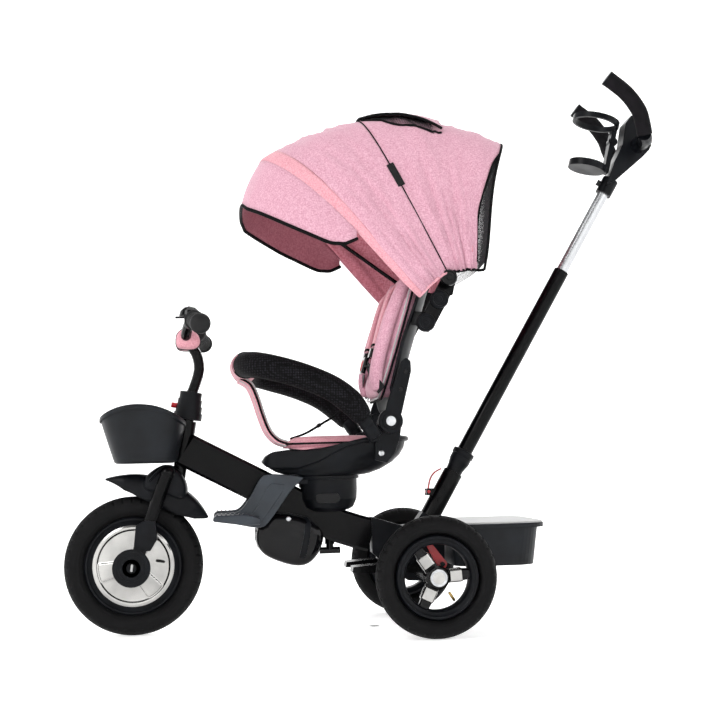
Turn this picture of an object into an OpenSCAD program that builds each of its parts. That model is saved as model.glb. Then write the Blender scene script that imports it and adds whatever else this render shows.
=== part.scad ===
// Children's push-along tricycle with a turning seat, folding canopy and parent handle.
// Millimetres. +X runs to the rear, +Y to the rider's right, +Z up; the floor is z = 0.
// Places are counted from the point under the front axle, and centred() then moves
// the whole tricycle so that the origin lies under the middle of its box.

/* [Wheels] */
// Outer radius of the front tyre
front_r = 130; // [126:1:132]
// Width of the front tyre
front_w = 48; // [44:1:50]
// Outer radius of the rear tyres
rear_r = 108.5; // [106:0.5:110]
// Width of the rear tyres
rear_w = 46; // [42:1:48]
// Distance between the front and rear axles
wheelbase = 543; // [540:1:546]
// Distance between the centre planes of the rear tyres
rear_track = 418; // [414:1:424]

/* [Steering] */
// Lean of the steering axis towards the rear, in degrees
steer_lean = 9; // [8:0.5:10]
// Radius of the steerer tube
steerer_r = 12.5; // [11:0.5:13]
// Half of the distance between the ends of the handlebar
bar_half_w = 190; // [185:1:195]

/* [Frame] */
// Half of the main tube's width
tube_half_w = 20; // [18:1:21]
// Half of the main tube's depth
tube_half_h = 32; // [30:1:33]

/* [Seat] */
// Place of the swivel axis along the tricycle
swivel_x = 371; // [370:1:372]
// Height of the backrest
back_h = 315; // [300:5:320]

/* [Canopy] */
// Half of the width between the canopy's sides
canopy_half_w = 160; // [155:1:165]
// Length of the front bow from its pivot
front_bow_l = 411; // [408:1:415]

/* [Parent handle] */
// Lean of the push pole towards the rear, in degrees
pole_lean = 30.4; // [30:0.1:31]
// Radius of the outer pole tube
pole_r = 15; // [14:0.5:15.5]
// Radius of the inner pole tube
inner_r = 11.4; // [10:0.2:11.6]

/* [Hidden] */
$fn = 48;

run_gap = 0.05;                   // radial clearance of every running fit
handle_back = 1039.4;             // rearmost point of the parent handle
mid_x = (handle_back - front_r) / 2;
front_axle = [0, front_r];        // x, z
rear_axle_at = [wheelbase, rear_r];
axle_r = 5;
rear_axle_r = 6;
steer_foot = [88, 0, 308];        // a point of the steering axis, just above the fork crown
fork_y = 46;                      // centre plane of each fork leg
fork_r = 12.5;
crown = [66, 302];
pole_foot = [568.2, 0, 206.7];
turret_r = 56;
knob_x = 372;                     // axis of the clamp knob under the main tube
turret_top = 284;
recline_at = [480, 389];
back_lean = 17;
canopy_pivot = [590, 650];
bumper_pull = [-0.524, 0, 0.852]; // direction in which the bumper bar leaves its sockets

black = "#1b1c1e";
satin = "#2a2b2e";
chrome = "#c9ccd0";
pink = "#e79aa8";
red = "#c8202a";

// ---------- helpers ----------

// Colour of a sub-part, and the move that centres the tricycle over the origin
module centred(c) { color(c) translate([-mid_x, 0, 0]) children(); }

// Cylinder along Y through the point (x, z)
module across(at, y0, y1, r, r2 = -1) {
  translate([at[0], y1, at[1]]) rotate([90, 0, 0]) cylinder(h = y1 - y0, r1 = r, r2 = r2 < 0 ? r : r2);
}

// Flat shape drawn in the X-Z plane and thickened along Y
module plate(points, y0, y1) {
  translate([0, y1, 0]) rotate([90, 0, 0]) linear_extrude(y1 - y0) polygon(points);
}

// Solid turned about a Y axis through (x, z); the profile is drawn as [radius, y]
module turned_across(at, y = 0) {
  translate([at[0], y, at[1]]) rotate([90, 0, 0]) rotate_extrude($fn = 96) children();
}

// Places its children at a, with +Z pointing towards b
module along(a, b) {
  d = b - a;
  translate(a) rotate([0, acos(d[2] / norm(d)), atan2(d[1], d[0])]) children();
}

module rod(a, b, r) { along(a, b) cylinder(h = norm(b - a), r = r); }

module both_sides() { children(); mirror([0, 1, 0]) children(); }

module on_steer(s) { translate(steer_foot) rotate([0, steer_lean, 0]) translate([0, 0, s]) children(); }
module on_pole(s) { translate(pole_foot) rotate([0, pole_lean, 0]) translate([0, 0, s]) children(); }
module on_back(u) {
  translate([recline_at[0], 0, recline_at[1]]) rotate([0, back_lean, 0]) translate([0, 0, u]) children();
}

function unit(v) = v / norm(v);
function tangent(p, i) = unit(p[min(i + 1, len(p) - 1)] - p[max(i - 1, 0)]);
function spline(a, b, c, d, t) =
  0.5 * (2 * b + (c - a) * t + (2 * a - 5 * b + 4 * c - d) * t * t + (3 * b - a - 3 * c + d) * t * t * t);
// Smooth curve through the points of p, with n steps between neighbours
function smooth(p, n) = [
  for (i = [0:len(p) - 2]) for (k = [0:n - 1])
    spline(p[max(i - 1, 0)], p[i], p[i + 1], p[min(i + 2, len(p) - 1)], k / n),
  p[len(p) - 1]];
// Both halves of a symmetric route whose last point lies on the middle plane
function whole(p) = concat(p, [for (i = [len(p) - 2:-1:0]) [p[i][0], -p[i][1], p[i][2]]]);

// Skin over rings of points, closed at both ends. The rings of a sheet run out along one
// face and back along the other, and their ends are closed strip by strip.
module skin(rings, sheet = false) {
  n = len(rings[0]);
  last = len(rings) - 1;
  sides = [for (i = [0:last - 1]) for (k = [0:n - 1])
    let(k2 = (k + 1) % n, a = i * n + k, b = i * n + k2, c = (i + 1) * n + k2, d = (i + 1) * n + k)
      each [[a, c, d], [a, b, c]]];
  strips = [for (i = [0:n / 2 - 2]) each [[i, i + 1, n - 2 - i], [i, n - 2 - i, n - 1 - i]]];
  foot = sheet ? [for (q = strips) [q[2], q[1], q[0]]] : [[for (k = [n - 1:-1:0]) k]];
  head = sheet ? [for (q = strips) q + last * n * [1, 1, 1]] : [[for (k = [0:n - 1]) last * n + k]];
  polyhedron([for (r = rings) each r], concat(sides, foot, head), convexity = 6);
}

// Bar of elliptical section, half sizes a (square to ref) and b, along a route
module sweep(p, ref, a, b, sides = 12) {
  skin([for (i = [0:len(p) - 1])
    let(t = tangent(p, i), u = unit(cross(t, ref)), v = cross(u, t))
      [for (k = [0:sides - 1]) p[i] + a * cos(360 * k / sides) * u + b * sin(360 * k / sides) * v]]);
}

// Bar of chamfered rectangular section along a route in the X-Z plane
module box_sweep(p, half_w, half_h, chamfer) {
  outline = [
    [half_w, half_h - chamfer], [half_w - chamfer, half_h],
    [chamfer - half_w, half_h], [-half_w, half_h - chamfer],
    [-half_w, chamfer - half_h], [chamfer - half_w, -half_h],
    [half_w - chamfer, -half_h], [half_w, chamfer - half_h]];
  skin([for (i = [0:len(p) - 1])
    let(t = tangent(p, i), u = [0, 1, 0], v = cross(t, u))
      [for (q = outline) p[i] + q[0] * u - q[1] * v]]);
}

// ---------- front wheel ----------

module front_tyre() {
  height = 42;
  mid = front_r - height / 2;
  lean = front_w / 2 - height / 2;
  centred(black) turned_across(front_axle) difference() {
    union() {
      for (s = [-1, 1]) translate([mid, s * lean]) circle(r = height / 2);
      translate([mid - height / 2, -lean]) square([height, 2 * lean]);
    }
    for (s = [-1, 1]) translate([mid + 1, s * lean]) circle(r = height / 2 - 4.5);
    translate([mid - height, -9]) square([height, 18]);
  }
}

module front_rim() {
  seat = front_r - 42;
  centred(satin) turned_across(front_axle) {
    translate([seat - 4, -18]) square([4, 36]);
    for (y = [-18, 16]) translate([seat - 2, y]) square([5, 2]);
    translate([20, -2]) square([seat - 23, 4]);
    translate([8, -19]) square([14, 38]);
    for (y = [-28, 19]) translate([11, y]) square([11, 9]);
  }
}

module front_wheel_discs() {
  centred(chrome) turned_across(front_axle) for (s = [-1, 1])
    polygon([[23, s * 20], [30, s * 22], [68, s * 14], [78, s * 11], [83.5, s * 11],
             [83.5, s * 12.4], [78.5, s * 12.4], [69, s * 15.4], [30, s * 23.4], [23, s * 21.4]]);
}

module front_bearings() {
  centred(chrome) turned_across(front_axle) for (y = [-27, 19])
    translate([axle_r + run_gap, y]) square([11 - axle_r - run_gap, 8]);
}

// ---------- fork and steering ----------

module front_axle() {
  centred(chrome) {
    across(front_axle, -58.4, 58.4, axle_r);
    both_sides() across(front_axle, 58.4, 64, 9, 8);
    both_sides() across(front_axle, 28, 35.9, 8);
  }
}

module fork() {
  centred(black) {
    both_sides() difference() {
      union() {
        rod([crown[0], fork_y, crown[1]], [6, fork_y, 140], fork_r);
        across(front_axle, 36, 58.4, 17);
      }
      across(front_axle, 30, 60, axle_r + run_gap);
    }
    across(crown, -fork_y, fork_y, fork_r - 0.5);
    both_sides() translate([crown[0], fork_y, crown[1]]) sphere(r = fork_r + 1);
    rod([crown[0], 0, crown[1]], steer_foot - [2, 0, 6], 12);
    on_steer(-16) cylinder(h = 162, r = steerer_r);
  }
}

module hub_covers() {
  collar = [[-20, 182], [-14, 203], [0, 210], [14, 214], [38, 212], [44, 196], [38, 172], [14, 176]];
  leg_a = [crown[0], fork_y, crown[1]];
  leg_b = [6, fork_y, 140];
  centred(black) both_sides() {
    difference() {
      across(front_axle, 58.6, 73, 35, 32);
      across(front_axle, 58, 66, 10);
    }
    difference() {
      plate([[8, 160], [4, 168], [8, 207], [24, 216], [44, 214], [46, 180], [34, 160]], 31, 63);
      rod(leg_b - [8, 0, 23], leg_a, fork_r + 0.2);
    }
  }
}

module mudguard() {
  skirt = 32;
  roof = 171;
  boss = [[22, 292], [26, 301], [44, 313], [62, 319], [78, 313], [96, 287], [99, 270], [88, 262]];
  centred(black) difference() {
    union() {
      translate([0, 0, front_r]) rotate([90, 0, 0]) rotate_extrude(angle = 76, start = 31.5, $fn = 96) difference() {
        translate([143, -skirt]) square([roof - 143, 2 * skirt]);
        translate([140, 3 - skirt]) square([roof - 143, 2 * skirt - 6]);
      }
      difference() {
        plate(boss, -62, 62);
        translate([0, 0, front_r]) rotate([90, 0, 0]) cylinder(h = 130, r = roof - 2, center = true, $fn = 96);
        plate([[26, 280], [30, 298], [46, 309], [62, 315.2], [76, 309], [92, 284], [90, 240], [26, 240]], -59.5, 59.5);
      }
    }
    on_steer(-40) cylinder(h = 80, r = 14.5);
    across(crown, -fork_y, fork_y, fork_r);
    rod([crown[0], 0, crown[1]], steer_foot - [2, 0, 6], 12.5);
    both_sides() translate([crown[0], fork_y, crown[1]]) sphere(r = fork_r + 1.4);
    both_sides() rod([crown[0] + 1, fork_y, crown[1] + 3], [6, fork_y, 140], fork_r + 0.4);
  }
}

module steering_collar() {
  centred(satin) difference() {
    union() for (i = [0:3]) on_steer(97 + 13 * i) cylinder(h = i == 3 ? 14 : 13.01, r = 27 - 2 * i);
    on_steer(90) cylinder(h = 70, r = steerer_r + 0.02);
    on_steer(121) rotate([0, -90, 0]) cylinder(h = 40, r = 5.4);
  }
}

module lock_button() { centred(red) on_steer(121) rotate([0, -90, 0]) translate([0, 0, 17]) cylinder(h = 17, r = 5); }

grip_out = [133, -bar_half_w, 568];
grip_in = [119.5, -100, 585];
bar_route = [grip_out, (grip_out + grip_in) / 2, grip_in, [110, -66, 580], [104, -34, 563], [103, 0, 557]];

module handlebar() {
  stem = smooth([[111.6, 0, 453.2], [118, 0, 468], [127, 0, 500], [122, 0, 530], [106, 0, 553]], 3);
  centred(black) {
    sweep(stem, [0, 1, 0], 10, 10);
    sweep(whole(concat([grip_out], smooth([for (i = [2:5]) bar_route[i]], 3))), [1, 0, 0], 10, 10);
  }
}

module grips() {
  centred(black) both_sides() along(grip_out, grip_in) difference() {
    union() {
      translate([0, 0, -4]) cylinder(h = 88, r = 15.5);
      translate([0, 0, -4]) cylinder(h = 5, r = 19);
      translate([0, 0, 80]) cylinder(h = 4, r = 19);
    }
    cylinder(h = 90, r = 10.1);
  }
}

bell_at = [112, -62, 592];

module bell() {
  centred(chrome) translate(bell_at) {
    rotate_extrude() polygon([[0, 4], [20, 4], [20, 6], [17.5, 14], [11, 20], [4, 22.5], [0, 23]]);
    cylinder(h = 4.5, r = 7);
  }
}

module bell_lever() {
  centred(black) translate(bell_at) difference() {
    union() {
      translate([0, 0, 0.2]) cylinder(h = 3.2, r = 12);
      translate([-27, -4, 0.2]) cube([18, 8, 3.2]);
    }
    cylinder(h = 10, r = 7 + run_gap, center = true);
  }
}

module bar_pouch() {
  centred(pink) hull() both_sides() {
    translate([104, 26, 557]) rotate([90, 0, 0]) cylinder(h = 10, r = 20, $fn = 24);
    translate([112, 30, 553]) rotate([90, 0, 0]) cylinder(h = 10, r = 15, $fn = 24);
  }
}

// ---------- front basket ----------

// Solid of the basket's outside, shrunk all round by t
module basket_form(t) {
  rim_z = 425;
  floor_z = 326;
  hull() {
    for (y = [-1, 1]) for (p = [[-14, 48], [52, 48]]) {
      translate([p[0], y * p[1], rim_z]) cylinder(h = 1 + t, r = 46 - t, $fn = 32);
      translate([p[0] + 10 - p[0] / 6, y * (p[1] - 16), floor_z + t]) cylinder(h = 1, r = 30 - t, $fn = 32);
    }
  }
}

module front_basket() {
  centred(satin) {
    difference() {
      basket_form(0);
      basket_form(3);
      translate([15, 0, 304]) rotate([90, 0, 0]) difference() {
        cylinder(h = 300, r = 200, center = true);
        cylinder(h = 301, r = 126, center = true);
      }
      on_steer(-10) cylinder(h = 130, r = 29);
      translate([90, -27, 300]) cube([60, 54, 140]);
    }
    intersection() {
      basket_form(0);
      difference() {
        on_steer(0) cylinder(h = 80, r = 32);
        on_steer(-10) cylinder(h = 130, r = 29);
        translate([90, -27, 300]) cube([60, 54, 140]);
      }
    }
    difference() {
      on_steer(44) cylinder(h = 22, r = 30);
      on_steer(40) cylinder(h = 30, r = 18.02);
      translate([92, -40, 300]) cube([60, 80, 140]);
    }
  }
}

// ---------- frame ----------

frame_line = [[100, 0, 346], [111, 0, 340], [187, 0, 300], [263, 0, 260], [322, 0, 227], [391, 0, 193], [452, 0, 174]];

module main_frame() {
  centred(black) difference() {
    union() {
      difference() {
        box_sweep(smooth(frame_line, 2), tube_half_w, tube_half_h, 5);
        translate([452, -50, 100]) cube([60, 100, 160]);
      }
      on_steer(16) cylinder(h = 78, r = 18);
      translate([knob_x, 0, 159]) cylinder(h = 20, r = 9);
    }
    on_steer(-30) cylinder(h = 130, r = 15);
    translate([knob_x, 0, 140]) cylinder(h = 30, r = 4 + run_gap);
  }
}

module head_bushes() {
  centred(chrome) for (s = [16, 84]) difference() {
    on_steer(s) cylinder(h = 10, r = 15);
    on_steer(s - 5) cylinder(h = 20, r = steerer_r + run_gap);
  }
}

module rear_bracket() {
  outline = [[452.2, 141], [452.2, 209], [512, 190.5], [536, 194], [551.8, 216], [584.4, 196.8], [593.6, 168], [590, 96],
             [560, 84], [520, 86], [470, 124]];
  centred(satin) difference() {
    plate(outline, -20, 20);
    across(rear_axle_at, -30, 30, 16);
  }
}

module axle_housing() {
  pivot = [560, 128];
  centred(black) difference() {
    union() {
      across(rear_axle_at, -178, 178, 16);
      both_sides() {
        plate([[528, 96], [530, 124], [556, 138], [568, 130], [562, 100]], 156, 162);
        across(pivot, 161, 182, 4);
        plate([[406, 110], [408, 120], [464, 124], [540, 118], [540, 106], [460, 108]], 40, 86);
      }
    }
    across(rear_axle_at, -180, 180, rear_axle_r + 0.02);
  }
}

module rear_axle() {
  centred(chrome) {
    across(rear_axle_at, -236, 236, rear_axle_r);
    both_sides() across(rear_axle_at, 231.8, 238, 15, 12);
    both_sides() across(rear_axle_at, 178.3, 185.5, 10);
  }
}

// ---------- rear wheels ----------

module rear_tyre(side) {
  height = 34.5;
  mid = rear_r - height / 2;
  lean = rear_w / 2 - height / 2;
  centred(black) turned_across(rear_axle_at, side * rear_track / 2) difference() {
    union() {
      for (s = [-1, 1]) translate([mid, s * lean]) circle(r = height / 2);
      translate([mid - height / 2, -lean]) square([height, 2 * lean]);
    }
    for (s = [-1, 1]) translate([mid + 1, s * lean]) circle(r = height / 2 - 4.5);
    translate([mid - height, -8]) square([height, 16]);
  }
}

module rear_rim(side) {
  seat = rear_r - 34.5;
  hole = rear_axle_r + run_gap;
  centred(satin) {
    turned_across(rear_axle_at, side * rear_track / 2) {
      translate([seat - 16, -14]) square([16, 28]);
      for (y = [-19, 14]) translate([seat - 16, y]) square([15, 5]);
      translate([hole, -22]) square([20 - hole, 44]);
    }
    for (a = [0, 120, 240])
      translate([rear_axle_at[0], side * rear_track / 2, rear_axle_at[1]]) rotate([0, a + 4, 0])
        translate([18, -10, -9]) cube([seat - 28, 20, 18]);
  }
}

module rear_tyre_left() { rear_tyre(-1); }
module rear_tyre_right() { rear_tyre(1); }
module rear_rim_left() { rear_rim(-1); }
module rear_rim_right() { rear_rim(1); }

module brake_lever(side) {
  pivot = [560, 128];
  centred(red) mirror([0, side < 0 ? 1 : 0, 0]) difference() {
    union() {
      plate([[531, 168], [537, 172], [546, 160], [566, 134], [560, 121], [551, 127], [540, 148]], 163, 175);
      across(pivot, 163, 175, 9);
    }
    across(pivot, 160, 178, 4 + run_gap);
  }
}

module brake_lever_left() { brake_lever(-1); }
module brake_lever_right() { brake_lever(1); }

// ---------- seat support ----------

button_at = [366, 248];

// Slot-shaped plug of the swivel button, grown by t
module button_form(y0, y1, t) {
  for (s = [-14, 14]) across(button_at + [s, 0], y0, y1, 9 + t);
  translate([button_at[0] - 14, y0, button_at[1] - 9 - t]) cube([28, y1 - y0, 18 + 2 * t]);
}

hinge_at = [300, 287];            // fold axis of the footrest

module turret_base() {
  centred(satin) difference() {
    union() {
      translate([swivel_x, 0, 0]) rotate_extrude()
        polygon([[0, 222], [34, 222], [48, 230], [turret_r - 1, 246], [turret_r, 262], [turret_r, turret_top], [0, turret_top]]);
      both_sides() translate([hinge_at[0] - 9, 26, hinge_at[1] - 11]) {
        cube([40, 12, 7.9]);
        cube([18, 12, 19]);
      }
    }
    plate([[280, 288.3], [336, 257.5], [403, 226], [450, 211], [450, 150], [280, 150]], -tube_half_w - 0.5, tube_half_w + 0.5);
    translate([swivel_x, 0, 262]) cylinder(h = 30, r = 12 + run_gap);
    button_form(-70, -44.5, 0.4);
    across(hinge_at, -50, 50, 5 + run_gap);
  }
}

module swivel_button() { centred(black) button_form(-58, -48, 0); }

module footrest() {
  side = [[196, 225], [218, 251], [238, 285], [248, 294], [292, 291], [312, 281], [300, 268], [288, 256], [251, 208], [232, 200]];
  centred(black) {
    both_sides() {
      plate(side, 60, 74);
      plate([[150, 214], [156, 224], [212, 224], [244, 216], [238, 200], [200, 205]], 60, 128);
    }
    across(hinge_at, -61, 61, 5);
  }
}

// ---------- stowed pedals ----------

module pedal_holder() {
  centred(black) difference() {
    plate([[229, 190], [232, 160], [246, 144], [276, 130], [312, 124], [332, 132], [348, 152], [354, 178],
           [350, 196], [330, 212], [292, 222], [250, 222]], -32, 32);
    box_sweep(smooth(frame_line, 2), tube_half_w + 0.1, tube_half_h + 0.1, 5);
  }
}

module pedals() {
  centred(satin) both_sides() {
    plate([[236, 186], [240, 162], [254, 146], [282, 133], [310, 129], [326, 136], [340, 152], [346, 176],
           [342, 192], [322, 205], [292, 212], [254, 210]], 32.3, 54);
  }
}

module clamp_knob() {
  centred(black) {
    translate([knob_x, 0, 148]) cylinder(h = 20, r = 4);
    translate([knob_x, 0, 148]) cylinder(h = 10.9, r = 7);
    translate([knob_x - 20, 0, 147]) rotate([0, 90, 0]) cylinder(h = 40, r = 6.5);
  }
}

// ---------- parent handle ----------

lever_at = [566.5, 254.2];        // rivet of the pole release lever

module pole_socket() {
  centred(black) difference() {
    union() {
      on_pole(0.3) cylinder(h = 97, r = 19);
      for (y = [-11, 7]) translate([lever_at[0] - 5, y, lever_at[1] - 7]) cube([20, 4, 13]);
      for (s = [62, 36]) on_pole(s) rotate([90, 0, 0]) cylinder(h = 42, r = 5, center = true);
    }
    on_pole(16) cylinder(h = 90, r = pole_r + run_gap);
    across(lever_at, -14, 14, 3 + run_gap);
  }
}

module release_lever() {
  route = smooth([[lever_at[0], 0, lever_at[1]], [568, 0, 266], [572, 0, 280], [580, 0, 291], [593, 0, 298]], 3);
  centred(red) {
    sweep(route, [0, 1, 0], 1.6, 6);
    across(lever_at, -6.6, 6.6, 5);
    across(lever_at, -10.9, 10.9, 3);
  }
}

module pole_collar() {
  centred(satin) difference() {
    on_pole(0) rotate_extrude()
      polygon([[0, 98], [15.8, 98], [16.5, 108], [20, 122], [20, 133], [21.5, 134], [21.5, 143], [17, 145], [0, 145]]);
    on_pole(90) cylinder(h = 70, r = pole_r + 0.02);
  }
}

module outer_pole() {
  centred(black) difference() {
    on_pole(20) cylinder(h = 535, r = pole_r);
    on_pole(10) cylinder(h = 600, r = inner_r + run_gap);
  }
}

module inner_pole() {
  centred(chrome) difference() {
    on_pole(400) cylinder(h = 360, r = inner_r);
    on_pole(390) cylinder(h = 345, r = inner_r - 1.5);
  }
}

horn_route = [[1010, -59, 935], [1006, -82, 934], [997, -103, 938], [991, -110, 960], [983, -112, 985],
              [959, -112, 1018], [922, -112, 1047.5]];

module horn_root(r) { sweep(smooth([for (i = [0:2]) horn_route[i]], 3), [0, 0, 1], r, r); }

module pole_yoke() {
  outline = [[943, 857], [961, 865], [1020, 914], [1034, 928], [handle_back, 938], [1034, 955], [1012, 998], [1000, 999],
             [988, 984], [980, 940], [962, 905]];
  centred(black) difference() {
    union() {
      plate(outline, -20, 20);
      on_pole(736) cylinder(h = 34, r = 16);
      across([1012, 938], -60, 60, 15);
    }
    on_pole(720) cylinder(h = 40, r = inner_r + 0.02);
    on_pole(752) rotate([0, -90, 0]) translate([0, 0, 11.8]) cylinder(h = 40, r = 6 + run_gap);
  }
  centred(black) both_sides() horn_root(13);
}

module handle_grips() {
  centred(black) both_sides() difference() {
    sweep(smooth([for (i = [2:6]) horn_route[i]], 4), [0, 1, 0], 15, 15);
    horn_root(13.05);
  }
}

module height_button() {
  centred(black) on_pole(752) rotate([0, -90, 0]) translate([0, 0, 15.2]) cylinder(h = 8, r = 6);
}

module cup_holder() {
  foot = [908, 0, 892];
  centred(black) {
    translate(foot) rotate([0, 14, 0]) {
      difference() {
        union() {
          cylinder(h = 14, r = 37);
          translate([0, 0, 96]) cylinder(h = 11, r = 47);
          translate([34, -11, 2]) cube([10, 22, 100]);
        }
        translate([0, 0, 4]) cylinder(h = 60, r = 33);
        translate([0, 0, 90]) cylinder(h = 60, r = 41);
      }
    }
    across([964, 948], -9, 9, 9);
  }
}

// ---------- rear tub ----------

module tub_form(x0, x1, half_y, z, h, r) {
  for (x = [x0 + r, x1 - r]) for (y = [-1, 1])
    translate([x, y * (half_y - r), z]) cylinder(h = h, r = r, $fn = 32);
}

module rear_tub() {
  centred(black) difference() {
    union() {
      hull() {
        tub_form(600, 752, 112, 116, 2, 40);
        tub_form(596, 760, 120, 186, 1, 40);
      }
      hull() tub_form(588, 771, 126, 186, 8, 44);
    }
    hull() {
      tub_form(604, 748, 108, 119, 2, 38);
      tub_form(600, 756, 116, 186, 20, 38);
    }
  }
}

module tub_lid() {
  centred("#b9bbbd") {
    hull() tub_form(592.5, 769, 124, 194.4, 3, 42);
    across([592, 198], -30, 30, 3);
  }
}

// ---------- seat ----------

module swivel_plate() {
  centred(satin) translate([swivel_x, 0, 0]) {
    translate([0, 0, turret_top + 0.3]) cylinder(h = 5.6, r = 60);
    translate([0, 0, 264]) cylinder(h = 22, r = 12);
  }
}

module bumper_socket() {
  low = [450, 132, 360];
  difference() {
    union() {
      rod(low, low + 24 * bumper_pull, 14);
      translate([440, 108, 352]) cube([16, 16, 20]);
    }
    rod(low - 10 * bumper_pull, low + 60 * bumper_pull, 10.4);
  }
}

// Outline of the seat pad grown by t, from z upwards
module pad_form(t, z, h) {
  hull() for (y = [-1, 1]) {
    translate([304, y * 40, z]) cylinder(h = h, r = 16 + t, $fn = 24);
    translate([430, y * 64, z]) cylinder(h = h, r = 30 + t, $fn = 24);
  }
}

module seat_shell() {
  centred(satin) difference() {
    union() {
      hull() {
        translate([swivel_x, 0, 290.2]) cylinder(h = 1, r = 60, $fn = 32);
        both_sides() translate([428, 18, 345]) cylinder(h = 18, r = 94, $fn = 32);
      }
      hull() {
        translate([292, 0, 308]) cylinder(h = 22, r = 44, $fn = 32);
        translate([292, 0, 308]) cylinder(h = 32, r = 32, $fn = 32);
        translate([360, 0, 300]) cylinder(h = 38, r = 76, $fn = 32);
      }
      both_sides() plate([[452, 312], [474, 312], [500, 362], [503, 389], [494, 408], [480, 412], [464, 406], [457, 388], [452, 366]], 103, 117.4);
      both_sides() bumper_socket();
    }
    hull() both_sides() translate([426, 14, 341]) cylinder(h = 40, r = 88, $fn = 32);
    pad_form(0.4, 341, 40);
    both_sides() across(recline_at, 100, 130, axle_r + 0.02);
  }
}

module seat_pad() { centred(pink) pad_form(0, 341.3, 20); }

module recline_bolts() { centred(chrome) both_sides() { across(recline_at, 106, 131, axle_r); across(recline_at, 128.2, 131, 9, 7); } }

// ---------- bumper bar ----------

bumper_low = [450, -132, 360];
bumper_route = [bumper_low, bumper_low + 24.4 * bumper_pull, [424, -138, 401], [402, -148, 426], [366, -152, 452], [312, -152, 475],
                [262, -146, 490], [230, -122, 498], [215, -70, 501], [211, 0, 502]];

module bumper_bar() { centred(satin) sweep(smooth(whole(bumper_route), 2), [0, 0, 1], 10, 10, 10); }

module bumper_foam() {
  foam = whole([for (i = [2:9]) bumper_route[i]]);
  centred(black) difference() {
    sweep(smooth(foam, 2), [0, 0, 1], 22.5, 22.5, 12);
    sweep(smooth(whole(bumper_route), 2), [0, 0, 1], 10.2, 10.2, 10);
  }
}

module crotch_panel() {
  route = smooth([[216, 0, 476], [238, 0, 450], [262, 0, 410], [280, 0, 376], [284, 0, 362]], 3);
  centred(pink) sweep(route, [0, 1, 0], 2, 32, 8);
}

// ---------- backrest ----------

module back_outline(half_w, low, high, r) {
  for (y = [-1, 1]) for (z = [low + r, high - r]) translate([0, y * (half_w - r), z]) rotate([0, 90, 0]) children();
}

module backrest_shell() {
  centred(satin) difference() {
    union() {
      on_back(0) hull() back_outline(128, 26, back_h, 40) translate([0, 0, -8]) cylinder(h = 20, r = 40, $fn = 32);
      both_sides() on_back(0) translate([0, 118, 0]) rotate([-90, 0, 0]) cylinder(h = 9.6, r = 23);
      both_sides() on_back(0) translate([-15, 118, 0]) cube([28, 9.6, 110]);
    }
    on_back(0) hull() back_outline(117, 34, back_h - 10, 36) translate([0, 0, -30]) cylinder(h = 34, r = 36, $fn = 32);
    both_sides() across(recline_at, 100, 140, axle_r + 0.06);
  }
}

module back_pad() {
  centred(pink) on_back(0) hull() back_outline(115, 36, back_h - 12, 34) translate([0, 0, -54]) cylinder(h = 56, r = 34, $fn = 24);
}

module harness() {
  centred("#2c2d30") {
    both_sides() {
      on_back(0) translate([-64, 34, 112]) cube([9.6, 40, 150]);
      on_back(0) translate([-58, 44, 60]) cube([2, 20, 48]);
    }
    on_back(0) translate([-66, -30, 92]) cube([11, 60, 16]);
  }
}

// ---------- canopy ----------

// Point of a bow's arch: phi is its angle in the side view, l its reach and w its half width
function arch(phi, l, w, t) =
  let(c = cos(180 * t), s = sin(180 * t), reach = l * pow(max(s, 0), 0.55))
    [canopy_pivot[0] + reach * cos(phi), -w * sign(c) * pow(abs(c), 0.5), canopy_pivot[1] + reach * sin(phi)];

mid_phi = 115.8;
front_phi = 144;
rear_phi = 65.5;
mid_l = 349;
rear_l = 297;

// U-shaped bow of round rod whose ends start at the given distance from the pivot
module bow(phi, l, w, start) {
  n = 18;
  foot = [for (s = [-1, 1]) [canopy_pivot[0] + start * cos(phi), s * w, canopy_pivot[1] + start * sin(phi)]];
  route = concat([foot[0]], [for (i = [0:n]) arch(phi, l, w, 0.03 + 0.94 * i / n)], [foot[1]]);
  sweep(route, [cos(phi + 90), 0, sin(phi + 90)], 4, 4, 8);
}

module eyelets(y0, y1) {
  both_sides() difference() {
    across(canopy_pivot, y0, y1, 11);
    across(canopy_pivot, y0 - 1, y1 + 1, 5 + run_gap);
  }
}

module canopy_rear_bow() {
  arm = [[537, 562], [553, 552], [566, 566], [592, 612], [606, 640], [604, 662], [588, 664], [576, 644], [548, 592]];
  centred(black) {
    both_sides() {
      plate(arm, 128.4, 140);
      across(canopy_pivot, 139, 165, 5);
      across(canopy_pivot, 139, 146, 12);
    }
    bow(rear_phi, rear_l, 141.5, 4);
  }
}

module canopy_mid_bow() { centred(black) { eyelets(147, 154); bow(mid_phi, mid_l, 150.5, 9); } }

module canopy_front_bow() { centred(black) { eyelets(156, 163); bow(front_phi, front_bow_l, 159.5, 9); } }

// Thin cloth between two bows, standing just outside them
module cloth(phi_a, l_a, phi_b, l_b, w, cols) {
  rows = 16;
  thick = 1.6;
  grid = [for (layer = [0, 1]) [for (j = [0:cols]) [for (i = [0:rows])
    let(f = j / cols, t = 0.03 + 0.94 * i / rows)
      arch(phi_a + (phi_b - phi_a) * f, l_a + (l_b - l_a) * f + layer * thick + 6, w + layer * thick, t)]]];
  // one closed ring per column: along the inner layer and back along the outer one
  skin([for (j = [0:cols]) concat(grid[0][j], [for (i = [rows:-1:0]) grid[1][j][i]])], true);
}

module canopy_rear_fabric() {
  centred(pink) cloth(rear_phi + 1.5, rear_l, mid_phi - 1.5, mid_l, canopy_half_w + 6, 6);
}

module canopy_front_fabric() {
  centred(pink) cloth(mid_phi + 1.5, mid_l, front_phi - 1.5, front_bow_l, canopy_half_w + 6, 5);
}

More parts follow.
